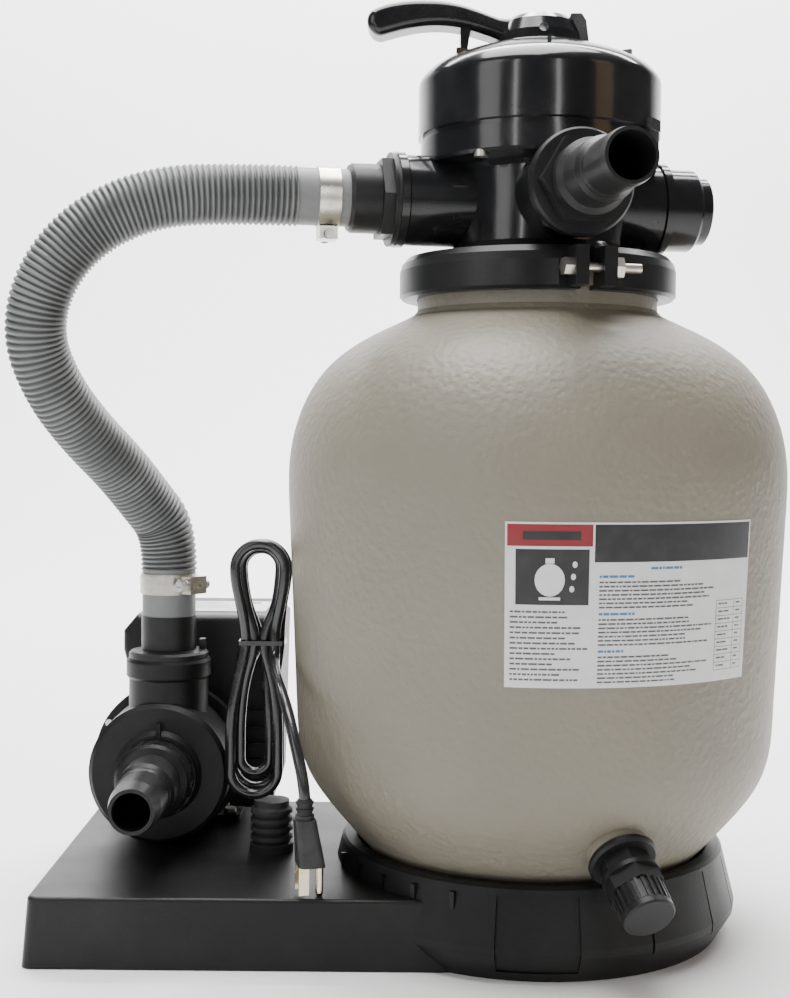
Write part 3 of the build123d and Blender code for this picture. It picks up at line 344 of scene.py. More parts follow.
def hose_wall(name, crest, groove_shade):
    """Polyethylene with painted shade in the grooves, so the crests read lighter; uneven dust patches break
    up the tone and vary the satin gloss.
    """
    material, nodes, links = blank_material(name)
    place = nodes.new("ShaderNodeTexCoord")
    place.label = "place on the hose"
    crest_shade_mask = nodes.new("ShaderNodeAttribute")
    crest_shade_mask.label = "how near the crest"
    patches = nodes.new("ShaderNodeTexNoise")
    patches.label = "uneven dust"
    crest_shade_and_dust = nodes.new("ShaderNodeMath")
    crest_shade_and_dust.label = "dust breaks up the crest tone"
    tone = nodes.new("ShaderNodeValToRGB")
    tone.label = "groove to crest grey"
    gloss = nodes.new("ShaderNodeMapRange")
    gloss.label = "satin range"
    pitting = nodes.new("ShaderNodeTexNoise")
    pitting.label = "extruded surface"
    relief = nodes.new("ShaderNodeBump")
    relief.label = "fine relief"
    shader = nodes.new("ShaderNodeBsdfPrincipled")
    shader.label = "grey polyethylene"
    output = nodes.new("ShaderNodeOutputMaterial")
    output.label = "surface out"
    tone_frame = nodes.new("NodeFrame")
    tone_frame.label = "crests, grooves and dust"
    relief_frame = nodes.new("NodeFrame")
    relief_frame.label = "surface"
    enclose(tone_frame, crest_shade_mask, patches, crest_shade_and_dust, tone, gloss)
    enclose(relief_frame, pitting, relief)
    spread(place, crest_shade_mask, patches, crest_shade_and_dust, tone, gloss, pitting, relief, shader, output)
    crest_shade_mask.attribute_name = "crest"
    patches.inputs["Scale"].default_value = 26.0
    patches.inputs["Detail"].default_value = 5.0
    crest_shade_and_dust.operation = "MULTIPLY"
    # The first stop is painted shade for the bottoms of the grooves; the last is the hose's own grey on the
    # crests.
    first_stop, last_stop = tone.color_ramp.elements
    first_stop.position = 0.05
    first_stop.color = (*groove_shade, 1)
    last_stop.position = 0.62
    last_stop.color = (*crest, 1)
    gloss.inputs["To Min"].default_value = 0.34
    gloss.inputs["To Max"].default_value = 0.56
    pitting.inputs["Scale"].default_value = 900.0
    relief.inputs["Strength"].default_value = 0.2
    relief.inputs["Distance"].default_value = 0.0003
    links.new(place.outputs["Object"], patches.inputs["Vector"])
    links.new(place.outputs["Object"], pitting.inputs["Vector"])
    # Height on the corrugation, broken up by the dust patches, picks between the painted groove shade and
    # the crest grey.
    links.new(crest_shade_mask.outputs["Fac"], crest_shade_and_dust.inputs[0])
    links.new(patches.outputs["Fac"], crest_shade_and_dust.inputs[1])
    links.new(crest_shade_and_dust.outputs["Value"], tone.inputs["Fac"])
    links.new(patches.outputs["Fac"], gloss.inputs["Value"])
    links.new(pitting.outputs["Fac"], relief.inputs["Height"])
    links.new(tone.outputs["Color"], shader.inputs["Base Color"])
    links.new(gloss.outputs["Result"], shader.inputs["Roughness"])
    links.new(relief.outputs["Normal"], shader.inputs["Normal"])
    links.new(shader.outputs["BSDF"], output.inputs["Surface"])
    return material


def read_route(name, points):
    """Points along the smooth curve through a route, with the run length up to each."""
    line = route_curve(name, points, 0.0, 40)
    bpy.context.view_layer.update()
    mesh = bpy.data.meshes.new_from_object(line.evaluated_get(bpy.context.evaluated_depsgraph_get()))
    places = [vertex.co.copy() for vertex in mesh.vertices]
    bpy.data.meshes.remove(mesh)
    bpy.data.objects.remove(line)
    runs = [0.0]
    for before, after in zip(places, places[1:]):
        runs.append(runs[-1] + (after - before).length)
    return places, runs


def hoop(skin, centre, side, across, radius):
    """One ring of points round the hose."""
    row = []
    for spoke in range(hose_sides):
        turn = 2 * math.pi * spoke / hose_sides
        row.append(skin.verts.new(centre + (side * math.cos(turn) + across * math.sin(turn)) * radius))
    return row


def corrugated_hose():
    """Hose skin as rings along its route, in and out over each corrugation, with ends turned in."""
    places, runs = read_route("hose_line", hose_route)
    total = runs[-1]
    ring_count = round(total / corrugation_pitch) * rings_per_corrugation + 1
    skin = bmesh.new()
    # Each point's height on its corrugation is kept for the finish, which paints shade into the grooves
    # from it.
    crest_layer = skin.verts.layers.float.new("crest")
    side = Vector((0, 0, 1))
    rings = []
    reached = 0
    for ring in range(ring_count):
        along = total * ring / (ring_count - 1)
        while reached < len(runs) - 2 and runs[reached + 1] < along:
            reached += 1
        share = (along - runs[reached]) / max(runs[reached + 1] - runs[reached], 1e-9)
        centre = places[reached].lerp(places[reached + 1], share)
        tangent = (places[reached + 1] - places[reached]).normalized()
        side = (side - tangent * side.dot(tangent)).normalized()
        across = tangent.cross(side)
        wave = 0.5 + 0.5 * math.cos(2 * math.pi * ring / rings_per_corrugation)
        height = wave ** crest_sharpness
        row = hoop(skin, centre, side, across, hose_d / 2 - groove_depth * (1 - height))
        for vertex in row:
            vertex[crest_layer] = height
        rings.append(row)
        if ring in (0, ring_count - 1):
            mouth = hoop(skin, centre, side, across, hose_d / 2 - hose_wall_depth)
            rings.insert(0 if ring == 0 else len(rings), mouth)
    for near, far in zip(rings, rings[1:]):
        for spoke in range(hose_sides):
            after = (spoke + 1) % hose_sides
            skin.faces.new((near[spoke], near[after], far[after], far[spoke]))
    bmesh.ops.recalc_face_normals(skin, faces=skin.faces)
    # The darker colour passed here is painted shade for the grooves.
    hose_grey = hose_wall("hose_grey", (0.185, 0.192, 0.192), (0.028, 0.030, 0.030))
    hose = mesh_object("hose_skin", skin, hose_grey)
    hose.data.shade_smooth()
    return hose, [tuple(place) for place in places]


hose_skin, hose_line = corrugated_hose()
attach(hose_skin, "frame")
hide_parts("hose")


# ---------------------------------------------------------------- base moulding
# One semi-matte black moulding carries the tank's foot ring and the pump deck.
# It is injection moulded, open below, with a fine spark-eroded grain that dust settles in.


def moulded_plastic(name, colour, dusty, gloss_range, grain, grain_depth, sheen_scale=7.0):
    """Injection-moulded plastic: dust in broad patches, uneven gloss, fine grain and faint scuffs."""
    material, nodes, links = blank_material(name)
    place = nodes.new("ShaderNodeTexCoord")
    place.label = "place on the piece"
    patches = nodes.new("ShaderNodeTexNoise")
    patches.label = "dust patches"
    tone = nodes.new("ShaderNodeValToRGB")
    tone.label = "clean to dusty"
    wiping = nodes.new("ShaderNodeTexNoise")
    wiping.label = "wiped and handled"
    gloss = nodes.new("ShaderNodeMapRange")
    gloss.label = "gloss range"
    stretch = nodes.new("ShaderNodeMapping")
    stretch.label = "scuffs run one way"
    scuffs = nodes.new("ShaderNodeTexNoise")
    scuffs.label = "fine scuffs"
    scuff_relief = nodes.new("ShaderNodeBump")
    scuff_relief.label = "scuff relief"
    mould_grain = nodes.new("ShaderNodeTexNoise")
    mould_grain.label = "mould grain"
    grain_relief = nodes.new("ShaderNodeBump")
    grain_relief.label = "grain relief"
    shader = nodes.new("ShaderNodeBsdfPrincipled")
    shader.label = "moulded plastic"
    output = nodes.new("ShaderNodeOutputMaterial")
    output.label = "surface out"
    dust_frame = nodes.new("NodeFrame")
    dust_frame.label = "dust and gloss"
    relief_frame = nodes.new("NodeFrame")
    relief_frame.label = "grain and scuffs"
    enclose(dust_frame, patches, tone, wiping, gloss)
    enclose(relief_frame, stretch, scuffs, scuff_relief, mould_grain, grain_relief)
    spread(place, patches, tone, wiping, gloss, stretch, scuffs, scuff_relief, mould_grain,
           grain_relief, shader, output)
    patches.inputs["Scale"].default_value = sheen_scale
    patches.inputs["Detail"].default_value = 6.0
    patches.inputs["Roughness"].default_value = 0.62
    first_stop, last_stop = tone.color_ramp.elements
    first_stop.position = 0.42
    first_stop.color = (*colour, 1)
    last_stop.position = 0.78
    last_stop.color = (*dusty, 1)
    wiping.inputs["Scale"].default_value = sheen_scale * 3
    wiping.inputs["Detail"].default_value = 4.0
    gloss.inputs["To Min"].default_value = gloss_range[0]
    gloss.inputs["To Max"].default_value = gloss_range[1]
    stretch.inputs["Scale"].default_value = (40.0, 40.0, 600.0)
    scuffs.inputs["Scale"].default_value = 2.0
    scuffs.inputs["Detail"].default_value = 3.0
    scuff_relief.inputs["Strength"].default_value = 0.08
    scuff_relief.inputs["Distance"].default_value = 0.0003
    mould_grain.inputs["Scale"].default_value = grain
    mould_grain.inputs["Detail"].default_value = 2.0
    grain_relief.inputs["Strength"].default_value = grain_depth
    grain_relief.inputs["Distance"].default_value = 0.0004
    shader.inputs["Specular IOR Level"].default_value = 0.24
    for texture in (patches, wiping, mould_grain, stretch):
        links.new(place.outputs["Object"], texture.inputs["Vector"])
    links.new(patches.outputs["Fac"], tone.inputs["Fac"])
    links.new(wiping.outputs["Fac"], gloss.inputs["Value"])
    links.new(stretch.outputs["Vector"], scuffs.inputs["Vector"])
    links.new(scuffs.outputs["Fac"], scuff_relief.inputs["Height"])
    links.new(mould_grain.outputs["Fac"], grain_relief.inputs["Height"])
    links.new(scuff_relief.outputs["Normal"], grain_relief.inputs["Normal"])
    links.new(tone.outputs["Color"], shader.inputs["Base Color"])
    links.new(gloss.outputs["Result"], shader.inputs["Roughness"])
    links.new(grain_relief.outputs["Normal"], shader.inputs["Normal"])
    links.new(shader.outputs["BSDF"], output.inputs["Surface"])
    return material


base_black = moulded_plastic("base_black", (0.005, 0.005, 0.0052), (0.017, 0.0165, 0.016), (0.32, 0.52),
                             900, 0.45)
dress(base_black, "base")


# ---------------------------------------------------------------- post
# Black rubber post with rolled ribs that stands on the deck under the folded lead.
# It is moulded soft, so it looks matt and slightly bloomed.


def soft_rubber(name, colour, bloom):
    """Matt rubber with a grey bloom and a slightly pitted skin."""
    material, nodes, links = blank_material(name)
    place = nodes.new("ShaderNodeTexCoord")
    place.label = "place on the rubber"
    blooming = nodes.new("ShaderNodeTexNoise")
    blooming.label = "bloom patches"
    tone = nodes.new("ShaderNodeValToRGB")
    tone.label = "black to bloom"
    pits = nodes.new("ShaderNodeTexVoronoi")
    pits.label = "pitted skin"
    relief = nodes.new("ShaderNodeBump")
    relief.label = "pit relief"
    shader = nodes.new("ShaderNodeBsdfPrincipled")
    shader.label = "rubber"
    output = nodes.new("ShaderNodeOutputMaterial")
    output.label = "surface out"
    bloom_frame = nodes.new("NodeFrame")
    bloom_frame.label = "bloom"
    pit_frame = nodes.new("NodeFrame")
    pit_frame.label = "pits"
    enclose(bloom_frame, blooming, tone)
    enclose(pit_frame, pits, relief)
    spread(place, blooming, tone, pits, relief, shader, output)
    blooming.inputs["Scale"].default_value = 45.0
    blooming.inputs["Detail"].default_value = 5.0
    first_stop, last_stop = tone.color_ramp.elements
    first_stop.position = 0.40
    first_stop.color = (*colour, 1)
    last_stop.position = 0.85
    last_stop.color = (*bloom, 1)
    pits.inputs["Scale"].default_value = 700.0
    relief.inputs["Strength"].default_value = 0.25
    relief.inputs["Distance"].default_value = 0.0003
    shader.inputs["Roughness"].default_value = 0.62
    links.new(place.outputs["Object"], blooming.inputs["Vector"])
    links.new(place.outputs["Object"], pits.inputs["Vector"])
    links.new(blooming.outputs["Fac"], tone.inputs["Fac"])
    links.new(pits.outputs["Distance"], relief.inputs["Height"])
    links.new(tone.outputs["Color"], shader.inputs["Base Color"])
    links.new(relief.outputs["Normal"], shader.inputs["Normal"])
    links.new(shader.outputs["BSDF"], output.inputs["Surface"])
    return material


black_rubber = soft_rubber("black_rubber", (0.010, 0.010, 0.010), (0.030, 0.030, 0.030))
dress(black_rubber, "ribbed_post")


# ---------------------------------------------------------------- tank
# Blow-moulded polyethylene tank in warm grey with a fine wrinkled skin.
# The neck stands in the clamp, and the foot sits in the base's collar.


def tank_skin():
    """Warm grey polyethylene: a skin of swells, wrinkles and peel, with slight clouding."""
    material, nodes, links = blank_material("tank_skin")
    place = nodes.new("ShaderNodeTexCoord")
    place.label = "place on the tank"
    clouding = nodes.new("ShaderNodeTexNoise")
    clouding.label = "clouding"
    tone = nodes.new("ShaderNodeValToRGB")
    tone.label = "warm grey"
    gloss = nodes.new("ShaderNodeMapRange")
    gloss.label = "satin range"
    wrinkles = nodes.new("ShaderNodeTexVoronoi")
    wrinkles.label = "wrinkle cells"
    wrinkle_relief = nodes.new("ShaderNodeBump")
    wrinkle_relief.label = "wrinkle relief"
    peel = nodes.new("ShaderNodeTexNoise")
    peel.label = "orange peel"
    peel_relief = nodes.new("ShaderNodeBump")
    peel_relief.label = "peel relief"
    swell = nodes.new("ShaderNodeTexNoise")
    swell.label = "blown wall swell"
    swell_relief = nodes.new("ShaderNodeBump")
    swell_relief.label = "swell relief"
    shader = nodes.new("ShaderNodeBsdfPrincipled")
    shader.label = "polyethylene"
    output = nodes.new("ShaderNodeOutputMaterial")
    output.label = "surface out"
    tone_frame = nodes.new("NodeFrame")
    tone_frame.label = "colour"
    relief_frame = nodes.new("NodeFrame")
    relief_frame.label = "skin"
    enclose(tone_frame, clouding, tone, gloss)
    enclose(relief_frame, wrinkles, wrinkle_relief, peel, peel_relief, swell, swell_relief)
    spread(place, clouding, tone, gloss, swell, swell_relief, wrinkles, wrinkle_relief, peel,
           peel_relief, shader, output)
    clouding.inputs["Scale"].default_value = 9.0
    clouding.inputs["Detail"].default_value = 6.0
    first_stop, last_stop = tone.color_ramp.elements
    first_stop.position = 0.30
    first_stop.color = (0.166, 0.149, 0.114, 1)
    last_stop.position = 0.72
    last_stop.color = (0.196, 0.177, 0.136, 1)
    gloss.inputs["To Min"].default_value = 0.42
    gloss.inputs["To Max"].default_value = 0.58
    swell.inputs["Scale"].default_value = 14.0
    swell_relief.inputs["Strength"].default_value = 0.25
    swell_relief.inputs["Distance"].default_value = 0.002
    wrinkles.feature = "SMOOTH_F1"
    wrinkles.inputs["Scale"].default_value = 230.0
    wrinkle_relief.inputs["Strength"].default_value = 0.6
    wrinkle_relief.inputs["Distance"].default_value = 0.0010
    peel.inputs["Scale"].default_value = 620.0
    peel.inputs["Detail"].default_value = 3.0
    peel_relief.inputs["Strength"].default_value = 0.5
    peel_relief.inputs["Distance"].default_value = 0.0005
    for texture in (clouding, swell, wrinkles, peel):
        links.new(place.outputs["Object"], texture.inputs["Vector"])
    links.new(clouding.outputs["Fac"], tone.inputs["Fac"])
    links.new(clouding.outputs["Fac"], gloss.inputs["Value"])
    links.new(swell.outputs["Fac"], swell_relief.inputs["Height"])
    links.new(wrinkles.outputs["Distance"], wrinkle_relief.inputs["Height"])
    links.new(peel.outputs["Fac"], peel_relief.inputs["Height"])
    links.new(swell_relief.outputs["Normal"], wrinkle_relief.inputs["Normal"])
    links.new(wrinkle_relief.outputs["Normal"], peel_relief.inputs["Normal"])
    links.new(tone.outputs["Color"], shader.inputs["Base Color"])
    links.new(gloss.outputs["Result"], shader.inputs["Roughness"])
    links.new(peel_relief.outputs["Normal"], shader.inputs["Normal"])
    links.new(shader.outputs["BSDF"], output.inputs["Surface"])
    return material


dress(tank_skin(), "tank_shell")
dress(black_rubber, "tank_gasket")


# ---------------------------------------------------------------- inside the tank
# White moulded standpipe, hub and slotted fingers, buried in the charge of graded sand.
# The pipe drops into the hub, and the fingers screw into it with coarse moulded threads.

white_moulding = moulded_plastic("white_moulding", (0.62, 0.62, 0.59), (0.48, 0.47, 0.43), (0.40, 0.55),
                                 800, 0.2)
dress(white_moulding, "lateral_hub", "laterals", "standpipe")


def graded_sand():
    """Pale quartz grains of mixed tint, packed in a bed."""
    material, nodes, links = blank_material("graded_sand")
    place = nodes.new("ShaderNodeTexCoord")
    place.label = "place in the bed"
    grains = nodes.new("ShaderNodeTexVoronoi")
    grains.label = "grains"
    tint = nodes.new("ShaderNodeValToRGB")
    tint.label = "quartz tints"
    relief = nodes.new("ShaderNodeBump")
    relief.label = "grain relief"
    shader = nodes.new("ShaderNodeBsdfPrincipled")
    shader.label = "quartz"
    output = nodes.new("ShaderNodeOutputMaterial")
    output.label = "surface out"
    grain_frame = nodes.new("NodeFrame")
    grain_frame.label = "grains"
    enclose(grain_frame, grains, tint, relief)
    spread(place, grains, tint, relief, shader, output)
    grains.inputs["Scale"].default_value = 1200.0
    first_stop, last_stop = tint.color_ramp.elements
    first_stop.color = (0.50, 0.42, 0.30, 1)
    last_stop.color = (0.74, 0.68, 0.56, 1)
    relief.inputs["Strength"].default_value = 0.8
    relief.inputs["Distance"].default_value = 0.0005
    shader.inputs["Roughness"].default_value = 0.8
    links.new(place.outputs["Object"], grains.inputs["Vector"])
    links.new(grains.outputs["Color"], tint.inputs["Fac"])
    links.new(grains.outputs["Distance"], relief.inputs["Height"])
    links.new(tint.outputs["Color"], shader.inputs["Base Color"])
    links.new(relief.outputs["Normal"], shader.inputs["Normal"])
    links.new(shader.outputs["BSDF"], output.inputs["Surface"])
    return material


dress(graded_sand(), "sand_bed")


# ---------------------------------------------------------------- labels
# A printed vinyl sheet stuck round the tank's front, and a small one on top of the motor housing.
# The print is built as thin blocks of ink: panels, a pictogram, rows of plain bars and a small table.


def printed_ink(name, colour, roughness):
    """Ink on vinyl: slightly uneven cover, with the film's own soft gloss."""
    material, nodes, links = blank_material(name)
    place = nodes.new("ShaderNodeTexCoord")
    place.label = "place on the film"
    cover = nodes.new("ShaderNodeTexNoise")
    cover.label = "ink cover"
    tone = nodes.new("ShaderNodeValToRGB")
    tone.label = "thin to full ink"
    shader = nodes.new("ShaderNodeBsdfPrincipled")
    shader.label = "film and ink"
    output = nodes.new("ShaderNodeOutputMaterial")
    output.label = "surface out"
    ink_frame = nodes.new("NodeFrame")
    ink_frame.label = "ink"
    enclose(ink_frame, cover, tone)
    spread(place, cover, tone, shader, output)
    cover.inputs["Scale"].default_value = 90.0
    cover.inputs["Detail"].default_value = 4.0
    thin = [channel * 0.92 + 0.01 for channel in colour]
    first_stop, last_stop = tone.color_ramp.elements
    first_stop.position = 0.30
    first_stop.color = (*thin, 1)
    last_stop.position = 0.60
    last_stop.color = (*colour, 1)
    shader.inputs["Roughness"].default_value = roughness
    links.new(place.outputs["Object"], cover.inputs["Vector"])
    links.new(cover.outputs["Fac"], tone.inputs["Fac"])
    links.new(tone.outputs["Color"], shader.inputs["Base Color"])
    links.new(shader.outputs["BSDF"], output.inputs["Surface"])
    return material


inks = {"white": printed_ink("film_white", (0.60, 0.61, 0.61), 0.34),
        "black": printed_ink("ink_black", (0.012, 0.012, 0.013), 0.30),
        "red": printed_ink("ink_red", (0.20, 0.008, 0.012), 0.34),
        "grey": printed_ink("ink_grey", (0.075, 0.075, 0.08), 0.36),
        "blue": printed_ink("ink_blue", (0.04, 0.16, 0.36), 0.36)}
ink_order = list(inks)
dress(inks["white"], "labels")

# The film's lower and upper edge on the tank's cone, as radius and height.
side_low = Vector((0.1586, 0.137))
side_high = Vector((0.1648, 0.278))
side_way = (side_high - side_low).normalized()
film_low = side_low + side_way * 0.046
film_high = side_low + side_way * 0.141
film_stand = 0.00047
film_begin = math.radians(-101)
film_span = math.radians(57)
film_width = film_span * (film_low.x + film_high.x) / 2
film_height = (film_high - film_low).length
across_steps_per_m = 260
ink_layer = 0.00015
shortest_row_share = 0.55
word_lengths = (0.0012, 0.0052)
word_gap = 0.0006


def tank_film_spot(across, up):
    """A place on the tank's film, across and up in metres from its lower left corner."""
    rim = film_low.lerp(film_high, up / film_height)
    turn = film_begin + film_span * across / film_width
    radius = rim.x + film_stand * side_way.y
    return Vector((radius * math.cos(turn), radius * math.sin(turn), rim.y - film_stand * side_way.x))


def raised_spot(across, up):
    """The same place on top of a first layer of ink."""
    place = tank_film_spot(across, up)
    return place + Vector((place.x, place.y, 0)).normalized() * ink_layer


def ink_block(sheet, spot, left, low, right, high, ink):
    """One flat printed rectangle, bent with the film it is printed on."""
    steps = max(1, math.ceil((right - left) * across_steps_per_m))
    rows = []
    for step in range(steps + 1):
        across = left + (right - left) * step / steps
        rows.append((sheet.verts.new(spot(across, low)), sheet.verts.new(spot(across, high))))
    for near, far in zip(rows, rows[1:]):
        face = sheet.faces.new((near[0], far[0], far[1], near[1]))
        face.material_index = ink_order.index(ink)


def text_bars(sheet, spot, left, top, width, row_count, row_pitch, bar_height, ink, words):
    """Rows of plain bars, of the look of small print, with no letters."""
    for row in range(row_count):
        low = top - row * row_pitch - bar_height
        across = left
        row_end = left + width * words.uniform(shortest_row_share, 1.0)
        while across < row_end:
            length = words.uniform(*word_lengths)
            ink_block(sheet, spot, across, low, min(across + length, left + width), low + bar_height, ink)
            across += length + word_gap


def print_piece(name, sheet):
    """Make printed blocks into a piece that stays on its film."""
    printed = mesh_object(name, sheet, *inks.values())
    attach(printed, "frame")


def label_print():
    """All of the tank label's print in one mesh of thin blocks."""
    words = random.Random(7)
    sheet = bmesh.new()
    left_panel_share = 0.312
    table_start_share = 0.82
    rule_width = 0.0003
    line_pitch = 0.0046
    split = film_width * left_panel_share
    edge = 0.0012
    top = film_height - edge
    # Left panel: a red header with plain bars, a pictogram of plain shapes, and small print.
    ink_block(sheet, tank_film_spot, edge, top - 0.0125, split - edge, top, "red")
    ink_block(sheet, raised_spot, 0.010, top - 0.0088, split - 0.008, top - 0.0040, "black")
    ink_block(sheet, tank_film_spot, 0.006, top - 0.046, split - 0.003, top - 0.0142, "black")
    text_bars(sheet, tank_film_spot, 0.003, top - 0.0495, split - 0.006, 14, 0.0030, 0.0011, "grey", words)
    # Right panel: a black strip over rows of small print, and a table at the right.
    right_edge = film_width - edge
    ink_block(sheet, tank_film_spot, split, top - 0.0215, right_edge, top, "black")
    text_bars(sheet, tank_film_spot, split + 0.034, top - 0.0245, 0.030, 1, 0.003, 0.0014, "blue", words)
    table_left = film_width * table_start_share
    for block in range(3):
        block_top = top - 0.029 - block * 0.0215
        text_bars(sheet, tank_film_spot, split + 0.003, block_top, 0.022, 1, 0.003, 0.0014, "blue", words)
        text_bars(sheet, tank_film_spot, split + 0.003, block_top - 0.0035, table_left - split - 0.006, 7,
                  0.0024, 0.0010, "grey", words)
    for line in range(10):
        low = top - 0.046 - line * line_pitch
        ink_block(sheet, tank_film_spot, table_left, low, right_edge - 0.003, low + rule_width, "grey")
        if line < 9:
            text_bars(sheet, tank_film_spot, table_left + 0.002, low - 0.0014, 0.011, 1, 0.003, 0.0010,
                      "grey", words)
            text_bars(sheet, tank_film_spot, right_edge - 0.010, low - 0.0014, 0.004, 1, 0.003, 0.0010,
                      "grey", words)
    for rule in (table_left, right_edge - 0.012, right_edge - 0.003):
        ink_block(sheet, tank_film_spot, rule, top - 0.0874, rule + rule_width, top - 0.0457, "grey")
    print_piece("label_print", sheet)


label_print()


def pictogram():
    """Plain shapes on the black block: a tank, its valve, its foot and three drops."""
    sheet = bmesh.new()
    disc_sides = 20
    middle = film_width * 0.156
    floor_line = film_height - 0.044

    def disc(across, up, radius, squash):
        rim = []
        for spoke in range(disc_sides):
            turn = 2 * math.pi * spoke / disc_sides
            rim.append(sheet.verts.new(raised_spot(across + radius * math.cos(turn),
                                                   up + radius * squash * math.sin(turn))))
        sheet.faces.new(rim).material_index = ink_order.index("white")

    disc(middle, floor_line + 0.011, 0.0085, 1.1)
    ink_block(sheet, raised_spot, middle - 0.0025, floor_line + 0.0205, middle + 0.0025,
              floor_line + 0.0235, "white")
    ink_block(sheet, raised_spot, middle - 0.0060, floor_line - 0.0005, middle + 0.0060,
              floor_line + 0.0012, "white")
    for drop in range(3):
        disc(middle + 0.0125 + 0.0008 * drop, floor_line + 0.006 + 0.007 * drop, 0.0014, 1.3)
    print_piece("label_pictogram", sheet)


pictogram()

housing_film_x = -0.266
housing_film_y = 0.103
housing_film_z = 0.1945


def housing_film_spot(across, up):
    """A place on the film on the motor housing, across and back from its front left corner."""
    return Vector((housing_film_x + across, housing_film_y + up, housing_film_z))


def housing_print():
    """Rows of plain bars and a ruled table on the motor housing's film."""
    words = random.Random(11)
    sheet = bmesh.new()
    text_bars(sheet, housing_film_spot, 0.006, 0.060, 0.040, 3, 0.0050, 0.0018, "black", words)
    text_bars(sheet, housing_film_spot, 0.006, 0.042, 0.064, 6, 0.0042, 0.0012, "grey", words)
    ink_block(sheet, housing_film_spot, 0.052, 0.048, 0.068, 0.060, "red")
    for line in range(4):
        low = 0.004 + line * 0.004
        ink_block(sheet, housing_film_spot, 0.004, low, 0.072, 0.0043 + line * 0.004, "grey")
    print_piece("housing_print", sheet)


housing_print()


# ---------------------------------------------------------------- drain
# Black screwed spigot through the tank wall, closed by a ribbed hexagon cap with a washer inside.
# A slotted strainer on the inside keeps the sand back.

fitting_black = moulded_plastic("fitting_black", (0.0075, 0.0076, 0.008), (0.019, 0.019, 0.019),
                                (0.30, 0.46), 1100, 0.30, 14.0)
dress(fitting_black, "drain_spigot", "drain_cap")
dress(white_moulding, "drain_strainer")
dress(black_rubber, "drain_cap_seal", "fitting_washers")


# ---------------------------------------------------------------- valve
# Gloss black body, lid and lever, injection moulded in glass-filled plastic and polished in the mould.
# Six screws hold the lid, and the lever turns and lifts the white diverter inside against its spring.


def polished_moulding(name, colour, bloom, gloss_range, sink):
    """Polished moulding: deep gloss, shallow sink waves that bend reflections, and fine dust."""
    material, nodes, links = blank_material(name)
    place = nodes.new("ShaderNodeTexCoord")
    place.label = "place on the piece"
    dust = nodes.new("ShaderNodeTexNoise")
    dust.label = "fine dust"
    tone = nodes.new("ShaderNodeValToRGB")
    tone.label = "black to dusty"
    smears = nodes.new("ShaderNodeTexNoise")
    smears.label = "smears"
    gloss = nodes.new("ShaderNodeMapRange")
    gloss.label = "gloss range"
    sinks = nodes.new("ShaderNodeTexNoise")
    sinks.label = "sink waves"
    sink_relief = nodes.new("ShaderNodeBump")
    sink_relief.label = "sink relief"
    shader = nodes.new("ShaderNodeBsdfPrincipled")
    shader.label = "gloss plastic"
    output = nodes.new("ShaderNodeOutputMaterial")
    output.label = "surface out"
    dust_frame = nodes.new("NodeFrame")
    dust_frame.label = "dust and smears"
    sink_frame = nodes.new("NodeFrame")
    sink_frame.label = "sink waves"
    enclose(dust_frame, dust, tone, smears, gloss)
    enclose(sink_frame, sinks, sink_relief)
    spread(place, dust, tone, smears, gloss, sinks, sink_relief, shader, output)
    dust.inputs["Scale"].default_value = 30.0
    dust.inputs["Detail"].default_value = 8.0
    dust.inputs["Roughness"].default_value = 0.7
    first_stop, last_stop = tone.color_ramp.elements
    first_stop.position = 0.45
    first_stop.color = (*colour, 1)
    last_stop.position = 0.90
    last_stop.color = (*bloom, 1)
    smears.inputs["Scale"].default_value = 12.0
    smears.inputs["Detail"].default_value = 5.0
    smears.inputs["Distortion"].default_value = 0.6
    gloss.inputs["To Min"].default_value = gloss_range[0]
    gloss.inputs["To Max"].default_value = gloss_range[1]
    sinks.inputs["Scale"].default_value = 26.0
    sinks.inputs["Detail"].default_value = 1.0
    sink_relief.inputs["Strength"].default_value = sink
    sink_relief.inputs["Distance"].default_value = 0.0015
    for texture in (dust, smears, sinks):
        links.new(place.outputs["Object"], texture.inputs["Vector"])
    shader.inputs["Specular IOR Level"].default_value = 0.36
    shader.inputs["Coat Weight"].default_value = 0.12
    shader.inputs["Coat Roughness"].default_value = 0.06
    links.new(dust.outputs["Fac"], tone.inputs["Fac"])
    links.new(smears.outputs["Fac"], gloss.inputs["Value"])
    links.new(sinks.outputs["Fac"], sink_relief.inputs["Height"])
    links.new(tone.outputs["Color"], shader.inputs["Base Color"])
    links.new(gloss.outputs["Result"], shader.inputs["Roughness"])
    links.new(sink_relief.outputs["Normal"], shader.inputs["Normal"])
    links.new(shader.outputs["BSDF"], output.inputs["Surface"])
    return material


valve_black = polished_moulding("valve_black", (0.0070, 0.0072, 0.0080), (0.022, 0.022, 0.023),
                                (0.10, 0.24), 0.35)
dress(valve_black, "valve_body", "valve_lid", "handle")
dress(white_moulding, "rotor", "cam_washer")
dress(black_rubber, "spider_gasket", "shaft_rings", "lid_gasket")


